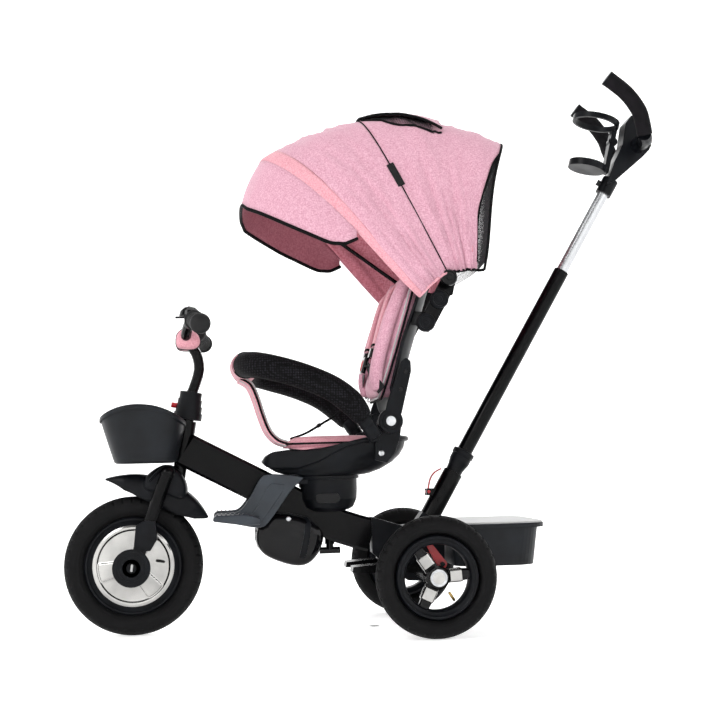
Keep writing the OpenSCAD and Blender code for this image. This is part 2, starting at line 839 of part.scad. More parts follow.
// Stiffened peak that hangs from the front bow, deepest over the child's face
module canopy_visor() {
  rows = 18;
  cols = 3;
  grid = [for (layer = [0, 1]) [for (j = [0:cols]) [for (i = [0:rows])
    let(t = 0.16 + 0.68 * i / rows, u = max(0, (sin(180 * t) - 0.48) / 0.52), f = j / cols)
      arch(front_phi + 0.8, front_bow_l + 6 + 1.6 * layer, canopy_half_w + 6 + 1.6 * layer, t)
        + f * [-37 * u * u - 4, 0, -47 - 46 * sqrt(u)]]]];
  centred(pink) skin([for (j = [0:cols]) concat(grid[0][j], [for (i = [rows:-1:0]) grid[1][j][i]])], true);
}

front_tyre();
front_rim();
front_wheel_discs();
front_bearings();
front_axle();
fork();
hub_covers();
mudguard();
steering_collar();
lock_button();
handlebar();
grips();
bell();
bell_lever();
bar_pouch();
front_basket();
main_frame();
head_bushes();
rear_bracket();
axle_housing();
rear_axle();
rear_tyre_left();
rear_tyre_right();
rear_rim_left();
rear_rim_right();
brake_lever_left();
brake_lever_right();
turret_base();
swivel_button();
footrest();
pedal_holder();
pedals();
clamp_knob();
pole_socket();
release_lever();
pole_collar();
outer_pole();
inner_pole();
pole_yoke();
handle_grips();
height_button();
cup_holder();
rear_tub();
tub_lid();
swivel_plate();
seat_shell();
seat_pad();
recline_bolts();
bumper_bar();
bumper_foam();
crotch_panel();
backrest_shell();
back_pad();
harness();
canopy_rear_bow();
canopy_mid_bow();
canopy_front_bow();
canopy_rear_fabric();
canopy_front_fabric();
canopy_visor();
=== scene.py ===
import math

import bmesh
import bpy
from mathutils import Matrix, Vector, noise


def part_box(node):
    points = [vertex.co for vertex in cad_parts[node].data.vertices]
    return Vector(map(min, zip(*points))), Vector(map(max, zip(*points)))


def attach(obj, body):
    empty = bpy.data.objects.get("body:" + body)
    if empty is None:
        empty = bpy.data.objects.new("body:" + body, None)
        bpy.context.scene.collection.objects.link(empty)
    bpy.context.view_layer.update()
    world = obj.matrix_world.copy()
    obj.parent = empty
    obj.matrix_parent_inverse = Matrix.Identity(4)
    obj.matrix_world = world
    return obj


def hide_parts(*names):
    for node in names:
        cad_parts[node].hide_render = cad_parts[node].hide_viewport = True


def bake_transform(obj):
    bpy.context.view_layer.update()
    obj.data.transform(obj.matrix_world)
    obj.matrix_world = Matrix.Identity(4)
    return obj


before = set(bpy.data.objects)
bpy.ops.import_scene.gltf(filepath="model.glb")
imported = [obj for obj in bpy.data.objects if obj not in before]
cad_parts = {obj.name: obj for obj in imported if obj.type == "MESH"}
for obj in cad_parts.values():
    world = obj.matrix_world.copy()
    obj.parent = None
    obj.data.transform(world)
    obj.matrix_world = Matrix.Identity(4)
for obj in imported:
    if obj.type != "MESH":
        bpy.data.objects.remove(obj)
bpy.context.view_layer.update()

# Lengths in the tables below are millimetres from the point under the front axle, as on the
# drawing: x to the rear, y to the rider's right, z up. place() turns them into the frame's metres.
TYRE_LOW, TYRE_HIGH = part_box("front_tyre")
AXLE_X = (TYRE_LOW[0] + TYRE_HIGH[0]) / 2
BACK, RIGHT, UP = (1, 0, 0), (0, 1, 0), (0, 0, 1)
SIDES = ((-1, "left"), (1, "right"))


def place(x, y, z):
    return Vector((AXLE_X + x / 1000, y / 1000, z / 1000))


# ---------- camera ----------

def aim_camera(at, yaw, pitch, roll, lens):
    """Camera at a point, turned by yaw towards +X from +Y, pitched up and rolled, in degrees."""
    yaw, pitch, roll = (math.radians(a) for a in (yaw, pitch, roll))
    ahead = Vector((math.sin(yaw) * math.cos(pitch), math.cos(yaw) * math.cos(pitch), math.sin(pitch)))
    right = Vector((math.cos(yaw), -math.sin(yaw), 0))
    up = right.cross(ahead)
    side = right * math.cos(roll) + up * math.sin(roll)
    top = up * math.cos(roll) - right * math.sin(roll)
    data = bpy.data.cameras.new("studio_camera")
    data.lens = lens
    data.sensor_width = 36
    camera = bpy.data.objects.new("studio_camera", data)
    camera.matrix_world = Matrix((
        (side.x, top.x, -ahead.x, at[0]),
        (side.y, top.y, -ahead.y, at[1]),
        (side.z, top.z, -ahead.z, at[2]),
        (0, 0, 0, 1)))
    bpy.context.collection.objects.link(camera)
    bpy.context.scene.camera = camera


aim_camera(at=(-0.2867, -2.4384, 0.3143), yaw=6.35, pitch=4.64, roll=-1.38, lens=62.95)


# ---------- materials ----------

def linear(code):
    """Linear RGBA of an sRGB hex colour."""
    parts = [int(code[i:i + 2], 16) / 255 for i in (1, 3, 5)]
    return [c / 12.92 if c <= 0.04045 else ((c + 0.055) / 1.055) ** 2.4 for c in parts] + [1.0]


def add(tree, kind, links=None, **settings):
    """One node; links maps its inputs to values or to other nodes' outputs."""
    made = tree.nodes.new("ShaderNode" + kind)
    for key, value in settings.items():
        setattr(made, key, value)
    for key, value in (links or {}).items():
        if isinstance(value, bpy.types.NodeSocket):
            tree.links.new(value, made.inputs[key])
        else:
            made.inputs[key].default_value = value
    return made


def blank(name, **constants):
    """A new material: its node tree, its shader and the object coordinates, in metres."""
    material = bpy.data.materials.new(name)
    material.use_nodes = True
    tree = material.node_tree
    shader = tree.nodes["Principled BSDF"]
    for key, value in constants.items():
        shader.inputs[key.replace("_", " ")].default_value = value
    return material, tree, shader, add(tree, "TexCoord").outputs["Object"]


def finish(name, tones, patch, rough, grain, depth, **constants):
    """Colour drifts between two tones in patches of that many mm, roughness between two values,
    and the surface carries a grain of that size and depth in mm."""
    material, tree, shader, where = blank(name, **constants)
    patches = add(tree, "TexNoise", {"Vector": where, "Scale": 1000 / patch, "Detail": 3.0})
    drift = add(tree, "MapRange", {"Value": patches.outputs["Fac"], "From Min": 0.35, "From Max": 0.65})
    tone = add(tree, "Mix", {0: drift.outputs[0], 6: linear(tones[0]), 7: linear(tones[1])}, data_type="RGBA")
    sheen = add(tree, "MapRange", {"Value": patches.outputs["Fac"], "From Min": 0.3, "From Max": 0.7,
                                   "To Min": rough[0], "To Max": rough[1]})
    grains = add(tree, "TexNoise", {"Vector": where, "Scale": 1000 / grain, "Detail": 2.0})
    bump = add(tree, "Bump", {"Height": grains.outputs["Fac"], "Strength": 0.6, "Distance": depth / 1000})
    tree.links.new(tone.outputs[2], shader.inputs["Base Color"])
    tree.links.new(sheen.outputs[0], shader.inputs["Roughness"])
    tree.links.new(bump.outputs[0], shader.inputs["Normal"])
    return material


def woven(name, tones, slub, depth, **constants):
    """Melange canvas: light and dark yarns in slubs of that many mm, one set along X and one
    along Z, drawn a little coarser than the 0.4 mm yarn so that they show."""
    material, tree, shader, where = blank(name, **constants)
    yarns = []
    for stretch in ((0.22, 1, 1), (1, 1, 0.22)):
        laid = add(tree, "Mapping", {"Vector": where, "Scale": [1000 / slub * s for s in stretch]})
        yarns.append(add(tree, "TexNoise", {"Vector": laid.outputs[0], "Scale": 1.0,
                                            "Detail": 2.0}).outputs["Fac"])
    crossed = add(tree, "Math", {0: yarns[0], 1: yarns[1]}, operation="ADD")
    mixed = add(tree, "MapRange", {"Value": crossed.outputs[0], "From Min": 0.82, "From Max": 1.18})
    tone = add(tree, "Mix", {0: mixed.outputs[0], 6: linear(tones[0]), 7: linear(tones[1])}, data_type="RGBA")
    bump = add(tree, "Bump", {"Height": crossed.outputs[0], "Strength": 0.5, "Distance": depth / 1000})
    tree.links.new(tone.outputs[2], shader.inputs["Base Color"])
    tree.links.new(bump.outputs[0], shader.inputs["Normal"])
    return material


def celled(name, tones, cell, depth, **constants):
    """Spacer mesh: a knitted face of open cells of that many mm over a darker core."""
    material, tree, shader, where = blank(name, **constants)
    cells = add(tree, "TexVoronoi", {"Vector": where, "Scale": 1000 / cell, "Randomness": 0.25})
    edge = add(tree, "MapRange", {"Value": cells.outputs["Distance"], "From Min": 0.15, "From Max": 0.5})
    tone = add(tree, "Mix", {0: edge.outputs[0], 6: linear(tones[0]), 7: linear(tones[1])}, data_type="RGBA")
    bump = add(tree, "Bump", {"Height": edge.outputs[0], "Strength": 0.8, "Distance": depth / 1000})
    tree.links.new(tone.outputs[2], shader.inputs["Base Color"])
    tree.links.new(bump.outputs[0], shader.inputs["Normal"])
    return material


def drawn(name, tones, line, along, rough, **constants):
    """Metal drawn or brushed along an axis: fine lines of that many mm that catch the light."""
    material, tree, shader, where = blank(name, Metallic=1.0, **constants)
    scale = [1000 / line * (0.02 if axis == along else 1.0) for axis in range(3)]
    laid = add(tree, "Mapping", {"Vector": where, "Scale": scale, "Rotation": (0, math.radians(-30.4), 0)})
    lines = add(tree, "TexNoise", {"Vector": laid.outputs[0], "Scale": 1.0, "Detail": 2.0})
    tone = add(tree, "Mix", {0: lines.outputs["Fac"], 6: linear(tones[0]), 7: linear(tones[1])},
               data_type="RGBA")
    dull = add(tree, "MapRange", {"Value": lines.outputs["Fac"], "To Min": rough[0], "To Max": rough[1]})
    tree.links.new(tone.outputs[2], shader.inputs["Base Color"])
    tree.links.new(dull.outputs[0], shader.inputs["Roughness"])
    return material


# Powder-coated steel, baked gloss black: a deep black with a soft orange-peel in the highlights.
POWDER_COAT = finish("powder_coated_steel", ("#020203", "#050506"), 60, (0.16, 0.26), 2.5, 0.04,
                     Coat_Weight=0.03, Specular_IOR_Level=0.1)
# Moulded ABS with a fine spark-eroded grain: blue-black, soft broad highlights.
SATIN_ABS = finish("moulded_abs_satin", ("#07080b", "#0d0f13"), 45, (0.32, 0.44), 0.9, 0.05,
                   Specular_IOR_Level=0.12)
# Moulded polypropylene, slightly greyer and duller, as on the basket; the footrest is the same plastic, drawn
# with the lighter copy below as painted highlight.
GREY_PP = finish("moulded_pp_charcoal", ("#101215", "#171a1e"), 50, (0.36, 0.48), 0.9, 0.05,
                 Specular_IOR_Level=0.18)
# The same polypropylene in a lighter slate tone, for the footrest: painted highlight, its colour raised to
# stand for the highlights along the footrest's arms.
HIGHLIGHT_PAINTED_PP = finish("moulded_pp_painted_highlight", ("#20252b", "#2b3138"), 50, (0.34, 0.46), 0.9, 0.05,
                  Specular_IOR_Level=0.35)
# Polished ABS: near-black with sharp reflections.
GLOSS_ABS = finish("moulded_abs_gloss", ("#030304", "#060608"), 70, (0.08, 0.14), 3.0, 0.03,
                   Coat_Weight=0.1, Specular_IOR_Level=0.16)
# Vulcanised tyre rubber: charcoal, matt, with a little bloom.
RUBBER = finish("tyre_rubber", ("#070708", "#0d0d0e"), 18, (0.55, 0.7), 0.7, 0.08,
                Specular_IOR_Level=0.12)
# Soft PVC of the handlebar grips.
GRIP_RUBBER = finish("grip_rubber", ("#0c0c0d", "#141415"), 12, (0.5, 0.64), 0.8, 0.08,
                     Specular_IOR_Level=0.25)
# EVA foam tube: charcoal, closed skin with tiny pores.
FOAM = finish("eva_foam", ("#100f11", "#181619"), 14, (0.65, 0.8), 0.8, 0.15, Specular_IOR_Level=0.08)
# Vacuum-metallised ABS wheel disc: bright silver, a little cloudy.
CHROME = finish("chromed_abs", ("#9c9b99", "#b6b5b2"), 60, (0.12, 0.22), 4.0, 0.02, Metallic=1.0)
# Zinc-plated steel: pale grey bolts, axles and nuts.
ZINC = finish("zinc_plated_steel", ("#a9abad", "#c9cbcd"), 9, (0.26, 0.38), 0.8, 0.03, Metallic=1.0)
# Anodised aluminium tube: satin silver drawn along its length.
ANODISED = drawn("anodised_aluminium", ("#a8aaad", "#d4d5d7"), 0.7, 2, (0.2, 0.34))
# Brass valve stem.
BRASS = finish("brass", ("#8d7440", "#b0935a"), 6, (0.3, 0.42), 0.8, 0.03, Metallic=1.0)
# Signal-red moulded nylon of the levers and the lock button.
RED_NYLON = finish("moulded_nylon_red", ("#a80f1a", "#c21a26"), 20, (0.3, 0.4), 1.0, 0.04)
# Light grey polypropylene lid with a fine grain.
LID_PP = finish("moulded_pp_grey", ("#9b9b9b", "#acacab"), 60, (0.42, 0.52), 0.9, 0.05)
# Polyester canvas in pink melange: light and rose yarns, a soft sheen at the edges.
PINK = woven("pink_melange_canvas", ("#ba8293", "#d6a8b8"), 1.1, 0.3,
             Roughness=0.86, Sheen_Weight=0.25, Sheen_Roughness=0.5)
# The same canvas, bleached lighter, used for the hem band and the seat.
PALE_PINK = woven("pale_pink_canvas", ("#c98591", "#dfa6b0"), 1.1, 0.3,
                  Roughness=0.86, Sheen_Weight=0.2, Sheen_Roughness=0.5)
# Coated lining: dusky rose, plain weave, a little shiny.
LINING = woven("rose_lining", ("#8e4f5c", "#a86773"), 1.4, 0.2, Roughness=0.7, Sheen_Weight=0.15)
# Bare back of the pink canvas, as seen inside the canopy.
CANVAS_BACK = woven("canvas_reverse", ("#bf6f7e", "#d9929f"), 1.7, 0.3, Roughness=0.88)
# Knitted spacer mesh of the bumper: black with a honeycomb of open cells.
SPACER_MESH = celled("spacer_mesh", ("#212025", "#020203"), 4.6, 1.2, Roughness=0.7, Specular_IOR_Level=0.1)
# Grosgrain binding tape and nylon webbing: black ribs across the tape.
TAPE = woven("grosgrain_tape", ("#030304", "#0b0b0c"), 1.1, 0.25, Roughness=0.75, Specular_IOR_Level=0.12)
WEBBING = woven("nylon_webbing", ("#080809", "#161618"), 1.3, 0.4, Roughness=0.66, Specular_IOR_Level=0.25)
# Knotless polyester net yarn.
NET_YARN = finish("polyester_net", ("#17171a", "#222226"), 8, (0.6, 0.7), 0.8, 0.04)
# Matt white paint of the studio floor.
FLOOR_PAINT = finish("studio_floor", ("#f8f8f8", "#fafafa"), 900, (0.55, 0.65), 30, 0.1,
                     Emission_Strength=0.52, Emission_Color=(1, 1, 1, 1))

CAD_FINISHES = {
    POWDER_COAT: ["fork", "handlebar", "main_frame", "axle_housing", "pole_socket", "outer_pole",
                  "bumper_bar", "canopy_mid_bow", "canopy_front_bow", "canopy_rear_bow"],
    SATIN_ABS: ["hub_covers", "steering_collar", "rear_bracket", "turret_base", "swivel_plate", "pole_collar",
                "pole_yoke", "cup_holder", "pedal_holder", "bell_lever"],
    GREY_PP: ["rear_tub"],
    GLOSS_ABS: ["swivel_button", "height_button", "clamp_knob", "bell"],
    ZINC: ["front_axle", "front_bearings", "rear_axle", "recline_bolts", "head_bushes"],
    ANODISED: ["inner_pole"],
    RED_NYLON: ["lock_button", "release_lever", "brake_lever_left", "brake_lever_right"],
    LID_PP: ["tub_lid"],
}
ROUNDED = ["hub_covers", "steering_collar", "rear_bracket", "turret_base", "pole_yoke", "cup_holder",
           "pedal_holder", "rear_tub", "tub_lid", "main_frame", "bell_lever", "brake_lever_left",
           "brake_lever_right", "canopy_rear_bow"]


def round_edges(obj, width, segments=2):
    """Small moulded or rolled radius on every sharp edge, in mm."""
    bevel = obj.modifiers.new("rounded", "BEVEL")
    bevel.width = width / 1000
    bevel.segments = segments
    bevel.limit_method = "ANGLE"
    bevel.angle_limit = math.radians(35)
    obj.modifiers.new("even_shading", "WEIGHTED_NORMAL")
    return obj


for material, names in CAD_FINISHES.items():
    for name in names:
        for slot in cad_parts[name].material_slots:
            slot.material = material
for name in ROUNDED:
    round_edges(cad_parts[name], 0.8)


# ---------- making pieces ----------

def piece(name, points, faces, material, soft=False):
    """Mesh object from points in metres; creases over 38 degrees stay crisp unless soft."""
    mesh = bpy.data.meshes.new(name)
    mesh.from_pydata([tuple(p) for p in points], [], faces)
    mesh.materials.append(material)
    for polygon in mesh.polygons:
        polygon.use_smooth = True
    if not soft:
        sharpen(mesh)
    obj = bpy.data.objects.new(name, mesh)
    bpy.context.collection.objects.link(obj)
    return obj


def sharpen(mesh):
    shape = bmesh.new()
    shape.from_mesh(mesh)
    bmesh.ops.recalc_face_normals(shape, faces=shape.faces)
    for edge in shape.edges:
        if len(edge.link_faces) == 2 and edge.calc_face_angle() > math.radians(38):
            edge.smooth = False
    shape.to_mesh(mesh)
    shape.free()


def skin_faces(rows, count, closed=True, caps=True):
    """Faces between rows of count points each, the rows closed into rings or left open."""
    faces = []
    for i in range(rows - 1):
        for k in range(count if closed else count - 1):
            k2 = (k + 1) % count
            faces.append((i * count + k, i * count + k2, (i + 1) * count + k2, (i + 1) * count + k))
    if closed and caps:
        faces.append(tuple(range(count - 1, -1, -1)))
        faces.append(tuple(range((rows - 1) * count, rows * count)))
    return faces


def loft(name, rings, material, closed=True, caps=True, soft=False):
    points = [p for ring in rings for p in ring]
    return piece(name, points, skin_faces(len(rings), len(rings[0]), closed, caps), material, soft)


def freeze(obj):
    """Takes the modifiers' result as the mesh."""
    bpy.context.view_layer.update()
    graph = bpy.context.evaluated_depsgraph_get()
    mesh = bpy.data.meshes.new_from_object(obj.evaluated_get(graph))
    obj.modifiers.clear()
    obj.data = mesh
    return obj


def thicken(obj, thickness, offset=-1.0, inside=None, edge=None):
    """Gives a sheet its thickness in mm; inside and edge are the materials of its other faces."""
    shell = obj.modifiers.new("thickness", "SOLIDIFY")
    shell.thickness = thickness / 1000
    shell.offset = offset
    for field, material in (("material_offset", inside), ("material_offset_rim", edge)):
        if material:
            obj.data.materials.append(material)
            setattr(shell, field, len(obj.data.materials) - 1)
    return freeze(obj)


def subdivide(obj, levels):
    obj.modifiers.new("finer", "SUBSURF").levels = levels
    obj.modifiers["finer"].render_levels = levels
    return freeze(obj)


def curve_through(points, steps):
    """Smooth run of points through the given ones."""
    points = [Vector(p) for p in points]
    last = len(points) - 1
    run = []
    for i in range(last):
        a, b, c, d = points[max(i - 1, 0)], points[i], points[i + 1], points[min(i + 2, last)]
        for k in range(steps):
            t = k / steps
            run.append(0.5 * (2 * b + (c - a) * t + (2 * a - 5 * b + 4 * c - d) * t ** 2
                              + (3 * b - a - 3 * c + d) * t ** 3))
    return run + [points[last]]


def interpolate(table, x):
    """Value at x in a table of (x, value) pairs, eased between neighbours."""
    table = sorted(table)
    if x <= table[0][0]:
        return table[0][1]
    for (x0, v0), (x1, v1) in zip(table, table[1:]):
        if x <= x1:
            t = (x - x0) / (x1 - x0)
            return v0 + (v1 - v0) * t
    return table[-1][1]


def both(points):
    """A run that ends on the middle plane, and its mirror image back."""
    return list(points) + [(p[0], -p[1], p[2]) for p in reversed(points[:-1])]


def mirrored(points, side):
    return [(p[0], p[1] * side, p[2]) for p in points]


def sweep(name, route, half_a, half_b, material, across=RIGHT, sides=24, domed=False, power=2.0, loop=False):
    """Bar along a route in mm. half_a is its half size along across, half_b square to it; either
    may be a function of the share of the route. Domed ends are rounded off."""
    route = [Vector(p) for p in route]
    last = len(route) - 1
    stations = []
    for i, p in enumerate(route):
        ahead = route[(i + 1) % len(route)] if loop else route[min(i + 1, last)]
        behind = route[i - 1] if loop else route[max(i - 1, 0)]
        stations.append((p, (ahead - behind).normalized(), i / last, 1.0))
    if domed:
        turns = [math.radians(a) for a in (75, 50, 25)]
        size = half_a(0.0) if callable(half_a) else half_a
        first, final = stations[0], stations[-1]
        stations = (
            [(first[0] - first[1] * size * 0.6 * math.sin(a), first[1], 0.0, math.cos(a)) for a in turns]
                    + stations
            + [(final[0] + final[1] * size * 0.6 * math.sin(a), final[1], 1.0, math.cos(a))
               for a in reversed(turns)])
    rings = []
    for p, tangent, share, scale in stations:
        v = tangent.cross(Vector(across)).normalized()
        u = v.cross(tangent)
        a = (half_a(share) if callable(half_a) else half_a) * scale
        b = (half_b(share) if callable(half_b) else half_b) * scale
        ring = []
        for k in range(sides):
            c, s = math.cos(2 * math.pi * k / sides), math.sin(2 * math.pi * k / sides)
            c = math.copysign(abs(c) ** (2 / power), c)
            s = math.copysign(abs(s) ** (2 / power), s)
            ring.append(place(*(p + u * a * c + v * b * s)))
        rings.append(ring)
    if loop:
        rings.append(rings[0])
    return loft(name, rings, material, caps=not loop, soft=power == 2.0 and domed)


def lathe(name, profile, at, material, steps=96, loop=False):
    """Turned about a Y axis through (x, z): profile is a list of (radius, y) in mm."""
    rings = []
    for j in range(steps):
        turn = 2 * math.pi * j / steps
        ring = []
        for r, y in profile:
            ring.append(place(at[0] + r * math.cos(turn), y, at[1] + r * math.sin(turn)))
        rings.append(ring)
    rings.append(rings[0])
    made = loft(name, rings, material, closed=loop, caps=False, soft=True)
    weld(made.data)
    sharpen(made.data)
    return made


def weld(mesh):
    shape = bmesh.new()
    shape.from_mesh(mesh)
    bmesh.ops.remove_doubles(shape, verts=shape.verts, dist=1e-6)
    bmesh.ops.recalc_face_normals(shape, faces=shape.faces)
    shape.to_mesh(mesh)
    shape.free()


def plate(name, outline, y0, y1, material, edge=1.5):
    """Flat moulding drawn in the X-Z plane, from y0 to y1, with rounded edges."""
    rings = [[place(x, y, z) for x, z in outline] for y in (y0, y1)]
    made = loft(name, rings, material, soft=True)
    weld(made.data)
    return freeze(round_edges(made, edge, 3))


def join(name, parts):
    """One piece from several; it keeps each one's materials."""
    for obj in parts:
        freeze(obj)
    target = parts[0]
    with bpy.context.temp_override(active_object=target, selected_editable_objects=parts):
        bpy.ops.object.join()
    target.name = name
    target.data.name = name
    return target


def fit(obj, body, slot, *nodes):
    """The piece rides on that body and stands for those CAD nodes, which are hidden; slot is not used."""
    if nodes:
        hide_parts(*nodes)
    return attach(obj, body)


# ---------- wheels ----------

def tyre(name, at, y, radius, width, height, pitches):
    """Pneumatic tyre with a zigzag-grooved tread, shoulder lugs and ribbed side walls."""
    section = [math.radians(a) for a in list(range(-66, 67, 3)) + list(range(72, 289, 6))]
    mid = radius - height / 2
    around = pitches * 10
    rings = []
    for j in range(around):
        turn = 2 * math.pi * j / around
        share = (j % 10) / 10
        zigzag = 7 * abs(2 * share - 1) - 3.5
        ring = []
        for angle in section:
            degrees = math.degrees(angle)
            side = abs(degrees)
            cut = 0.0
            if side < 66:
                if abs(side - 20 - zigzag) < 2.6 or abs(degrees - zigzag) < 1.6:
                    cut = 1.6
                if 24 < side < 64 and (share + (0.5 if degrees > 0 else 0)) % 1 < 0.18:
                    cut = 1.9
                if side < 20 and (share + degrees / 80) % 1 < 0.1:
                    cut = 1.2
            elif 78 < degrees < 282:
                cut = 0.45 - 0.45 * math.cos(math.radians(degrees * 20))
            r = math.copysign(abs(math.cos(angle)) ** 0.84, math.cos(angle)) * (height / 2 - cut)
            w = math.copysign(abs(math.sin(angle)) ** 0.84, math.sin(angle)) * (width / 2 - cut)
            ring.append(place(at[0] + (mid + r) * math.cos(turn), y + w, at[1] + (mid + r) * math.sin(turn)))
        rings.append(ring)
    rings.append(rings[0])
    made = loft(name, rings, RUBBER, caps=False, soft=True)
    weld(made.data)
    return made


HUB = (0, 130)
REAR_HUB = (543, 108.5)
REAR_Y = 209
fit(tyre("front_tyre_tread", HUB, 0, 130, 48, 42, 44), "front_wheel", "tyre_rubber", "front_tyre")
for side, word in SIDES:
    fit(tyre(f"rear_tyre_{word}_tread", REAR_HUB, side * REAR_Y, 108.5, 46, 34.5, 38),
        f"rear_wheel_{word}", "tyre_rubber", f"rear_tyre_{word}")

FRONT_RIM = [(92, -15), (92, 15), (89, 18.5), (86, 19), (84.5, 17.5), (82, 17), (79, 15), (76, 14.6),
             (75, 13), (60, 9), (24, 9), (24, -9), (60, -9), (75, -13), (76, -14.6), (79, -15), (82, -17),
             (84.5, -17.5), (86, -19), (89, -18.5)]
front_rim = lathe("front_rim_ring", FRONT_RIM, HUB, SATIN_ABS, loop=True)
front_hub = lathe("front_hub", [(8, -28), (22, -28), (22, 28), (8, 28)], HUB, SATIN_ABS, loop=True)
fit(join("front_rim_moulding", [front_rim, front_hub]), "front_wheel", "black_plastic", "front_rim")


def chrome_disc(side):
    """Bright wheel disc: a shallow dish with three wide raised arms and a stepped edge."""
    arms = [math.radians(a) for a in (70, 190, 310)]
    radii = [22, 25, 28, 32, 38, 44, 50, 56, 60, 63, 65, 66.5, 68, 70, 72, 73.5, 75, 76]
    around = 180

    def height(r, turn):
        level = interpolate([(22, 23), (30, 21), (44, 18), (60, 15.6), (66, 15), (68, 16.8), (72, 17.2),
                             (76, 15)], r)
        if r > 66:
            return level
        near = min(abs((turn - a + math.pi) % (2 * math.pi) - math.pi) for a in arms)
        across = near * r
        flank = min(max((13 + 0.09 * r - across) / 3.2, 0), 1)
        rise = 3.6 * min(max((66.2 - r) / 2.5, 0), 1)
        return level + rise * flank * flank * (3 - 2 * flank)

    rings = []
    for j in range(around + 1):
        turn = 2 * math.pi * j / around
        rings.append([place(HUB[0] + r * math.cos(turn), side * height(r, turn), HUB[1] + r * math.sin(turn))
                      for r in radii])
    made = loft(f"disc_{side}", rings, CHROME, closed=False, soft=True)
    weld(made.data)
    return made


discs = join("front_chrome_discs", [chrome_disc(side) for side in (-1, 1)])
fit(discs, "front_wheel", "chrome_disc", "front_wheel_discs")
valve = sweep("front_valve", [(57, -14, 136), (51, -22, 138), (45, -24, 139)], 2.6, 2.6, GRIP_RUBBER,
              domed=True, sides=12)
fit(valve, "front_wheel", "black_plastic")

for side, word in SIDES:
    rings = [(34.2, side * 72.6), (30, side * 73.4), (29, side * 72.2), (25, side * 72.2), (24, side * 73.8),
             (17, side * 74.2), (16, side * 73), (9, side * 73), (0.1, side * 73.2)]
    cap = lathe("cap_rings", rings, HUB, SATIN_ABS, steps=64)
    mark = sweep("axle_mark", [(0, side * 73.4, 125), (1.5, side * 73.4, 136)], 2.2, 1.2, LID_PP, across=BACK,
                 sides=16, domed=True)
    fit(join(f"hub_cap_{word}", [cap, mark]), "steering", "gloss_plastic")


def rear_wheel(side):
    """Black three-armed rear wheel with bright sleeves on the arms; its domed axle cap is made apart."""
    y = side * REAR_Y
    ring = lathe("ring", [(75, y - 14), (75, y + 14), (72, y + 19), (68, y + 20), (66, y + 18),
                          (61, y + 17), (59, y + 14), (58, y + 12), (58, y - 12), (59, y - 14),
                          (61, y - 17), (66, y - 18), (68, y - 20), (72, y - 19)], REAR_HUB, SATIN_ABS,
                 loop=True)
    hub = lathe("hub", [(6.2, y - 22), (18, y - 22), (21, y - 19), (21, y + 19), (18, y + 22), (6.2, y + 22)],
                REAR_HUB, GLOSS_ABS, loop=True)
    parts = [ring, hub]
    for angle in (4, 124, 244):
        way = Vector((math.cos(math.radians(angle)), 0, math.sin(math.radians(angle))))
        centre = Vector((REAR_HUB[0], y, REAR_HUB[1]))
        run = [centre + way * r for r in (16, 24, 40, 52, 61)]
        parts.append(sweep("arm", run, 11, lambda t: 13 - 4 * t, GLOSS_ABS, power=5, sides=32))
        sleeve = [centre + way * r for r in (22, 23.5, 30, 38, 44, 45.5)]
        parts.append(sweep("sleeve", sleeve, lambda t: 13.5 if 0.05 < t < 0.95 else 12.2,
                           lambda t: 12.6 if 0.05 < t < 0.95 else 11.4, CHROME, power=4, sides=32))
    return join(f"rear_wheel_{side}", parts)


for side, word in SIDES:
    wheel = rear_wheel(side)
    wheel.name = f"rear_rim_{word}_moulding"
    fit(wheel, f"rear_wheel_{word}", "black_plastic", f"rear_rim_{word}")
    y = side * REAR_Y
    stem = sweep(f"rear_valve_{word}", [(572, y + side * 10, 68), (566, y + side * 17, 76),
                                        (562, y + side * 20, 82)],
                 2.6, 2.6, BRASS, domed=True, sides=12)
    fit(stem, f"rear_wheel_{word}", "zinc_steel")
    dome = lathe(f"axle_cap_{word}", [(15.4, side * 231.4), (15.6, side * 234), (14, side * 237),
                                      (9, side * 238.6), (0.1, side * 239)], REAR_HUB, CHROME, steps=48)
    fit(dome, "frame", "zinc_steel")

# ---------- mudguard and steering ----------------

FIN = [(107.3, 2, 9), (104, 9, 17), (100, 18, 24), (96, 28, 29), (85, 42, 32), (77, 47, 33), (60, 50, 33),
       (50, 46, 32), (43, 36, 29), (37, 24, 22), (33.5, 11, 14), (31.9, 3, 8)]


def mudguard_fins():
    """Curved guard over the tyre with a pointed fin at each end."""
    rings = []
    for j in range(61):
        angle = 107.3 + (31.9 - 107.3) * j / 60
        depth = interpolate([(a, d) for a, d, w in FIN], angle)
        half = interpolate([(a, w) for a, d, w in FIN], angle)
        radius = interpolate([(31.9, 165), (45, 169), (60, 171), (96, 171), (107.3, 171.7)], angle)
        way = (math.cos(math.radians(angle)), math.sin(math.radians(angle)))
        ring = []
        for k in range(-12, 13):
            s = k / 12
            turn = math.radians(90 * abs(s))
            y = math.copysign(half * math.sin(turn) ** 0.45, s) if k else 0
            drop = depth * (1 - math.cos(turn) ** 0.8)
            r = radius - drop
            ring.append(place(r * way[0], y, HUB[1] + r * way[1]))
        rings.append(ring)
    made = loft("fins", rings, SATIN_ABS, closed=False, soft=True)
    return thicken(made, 2.6, offset=0)


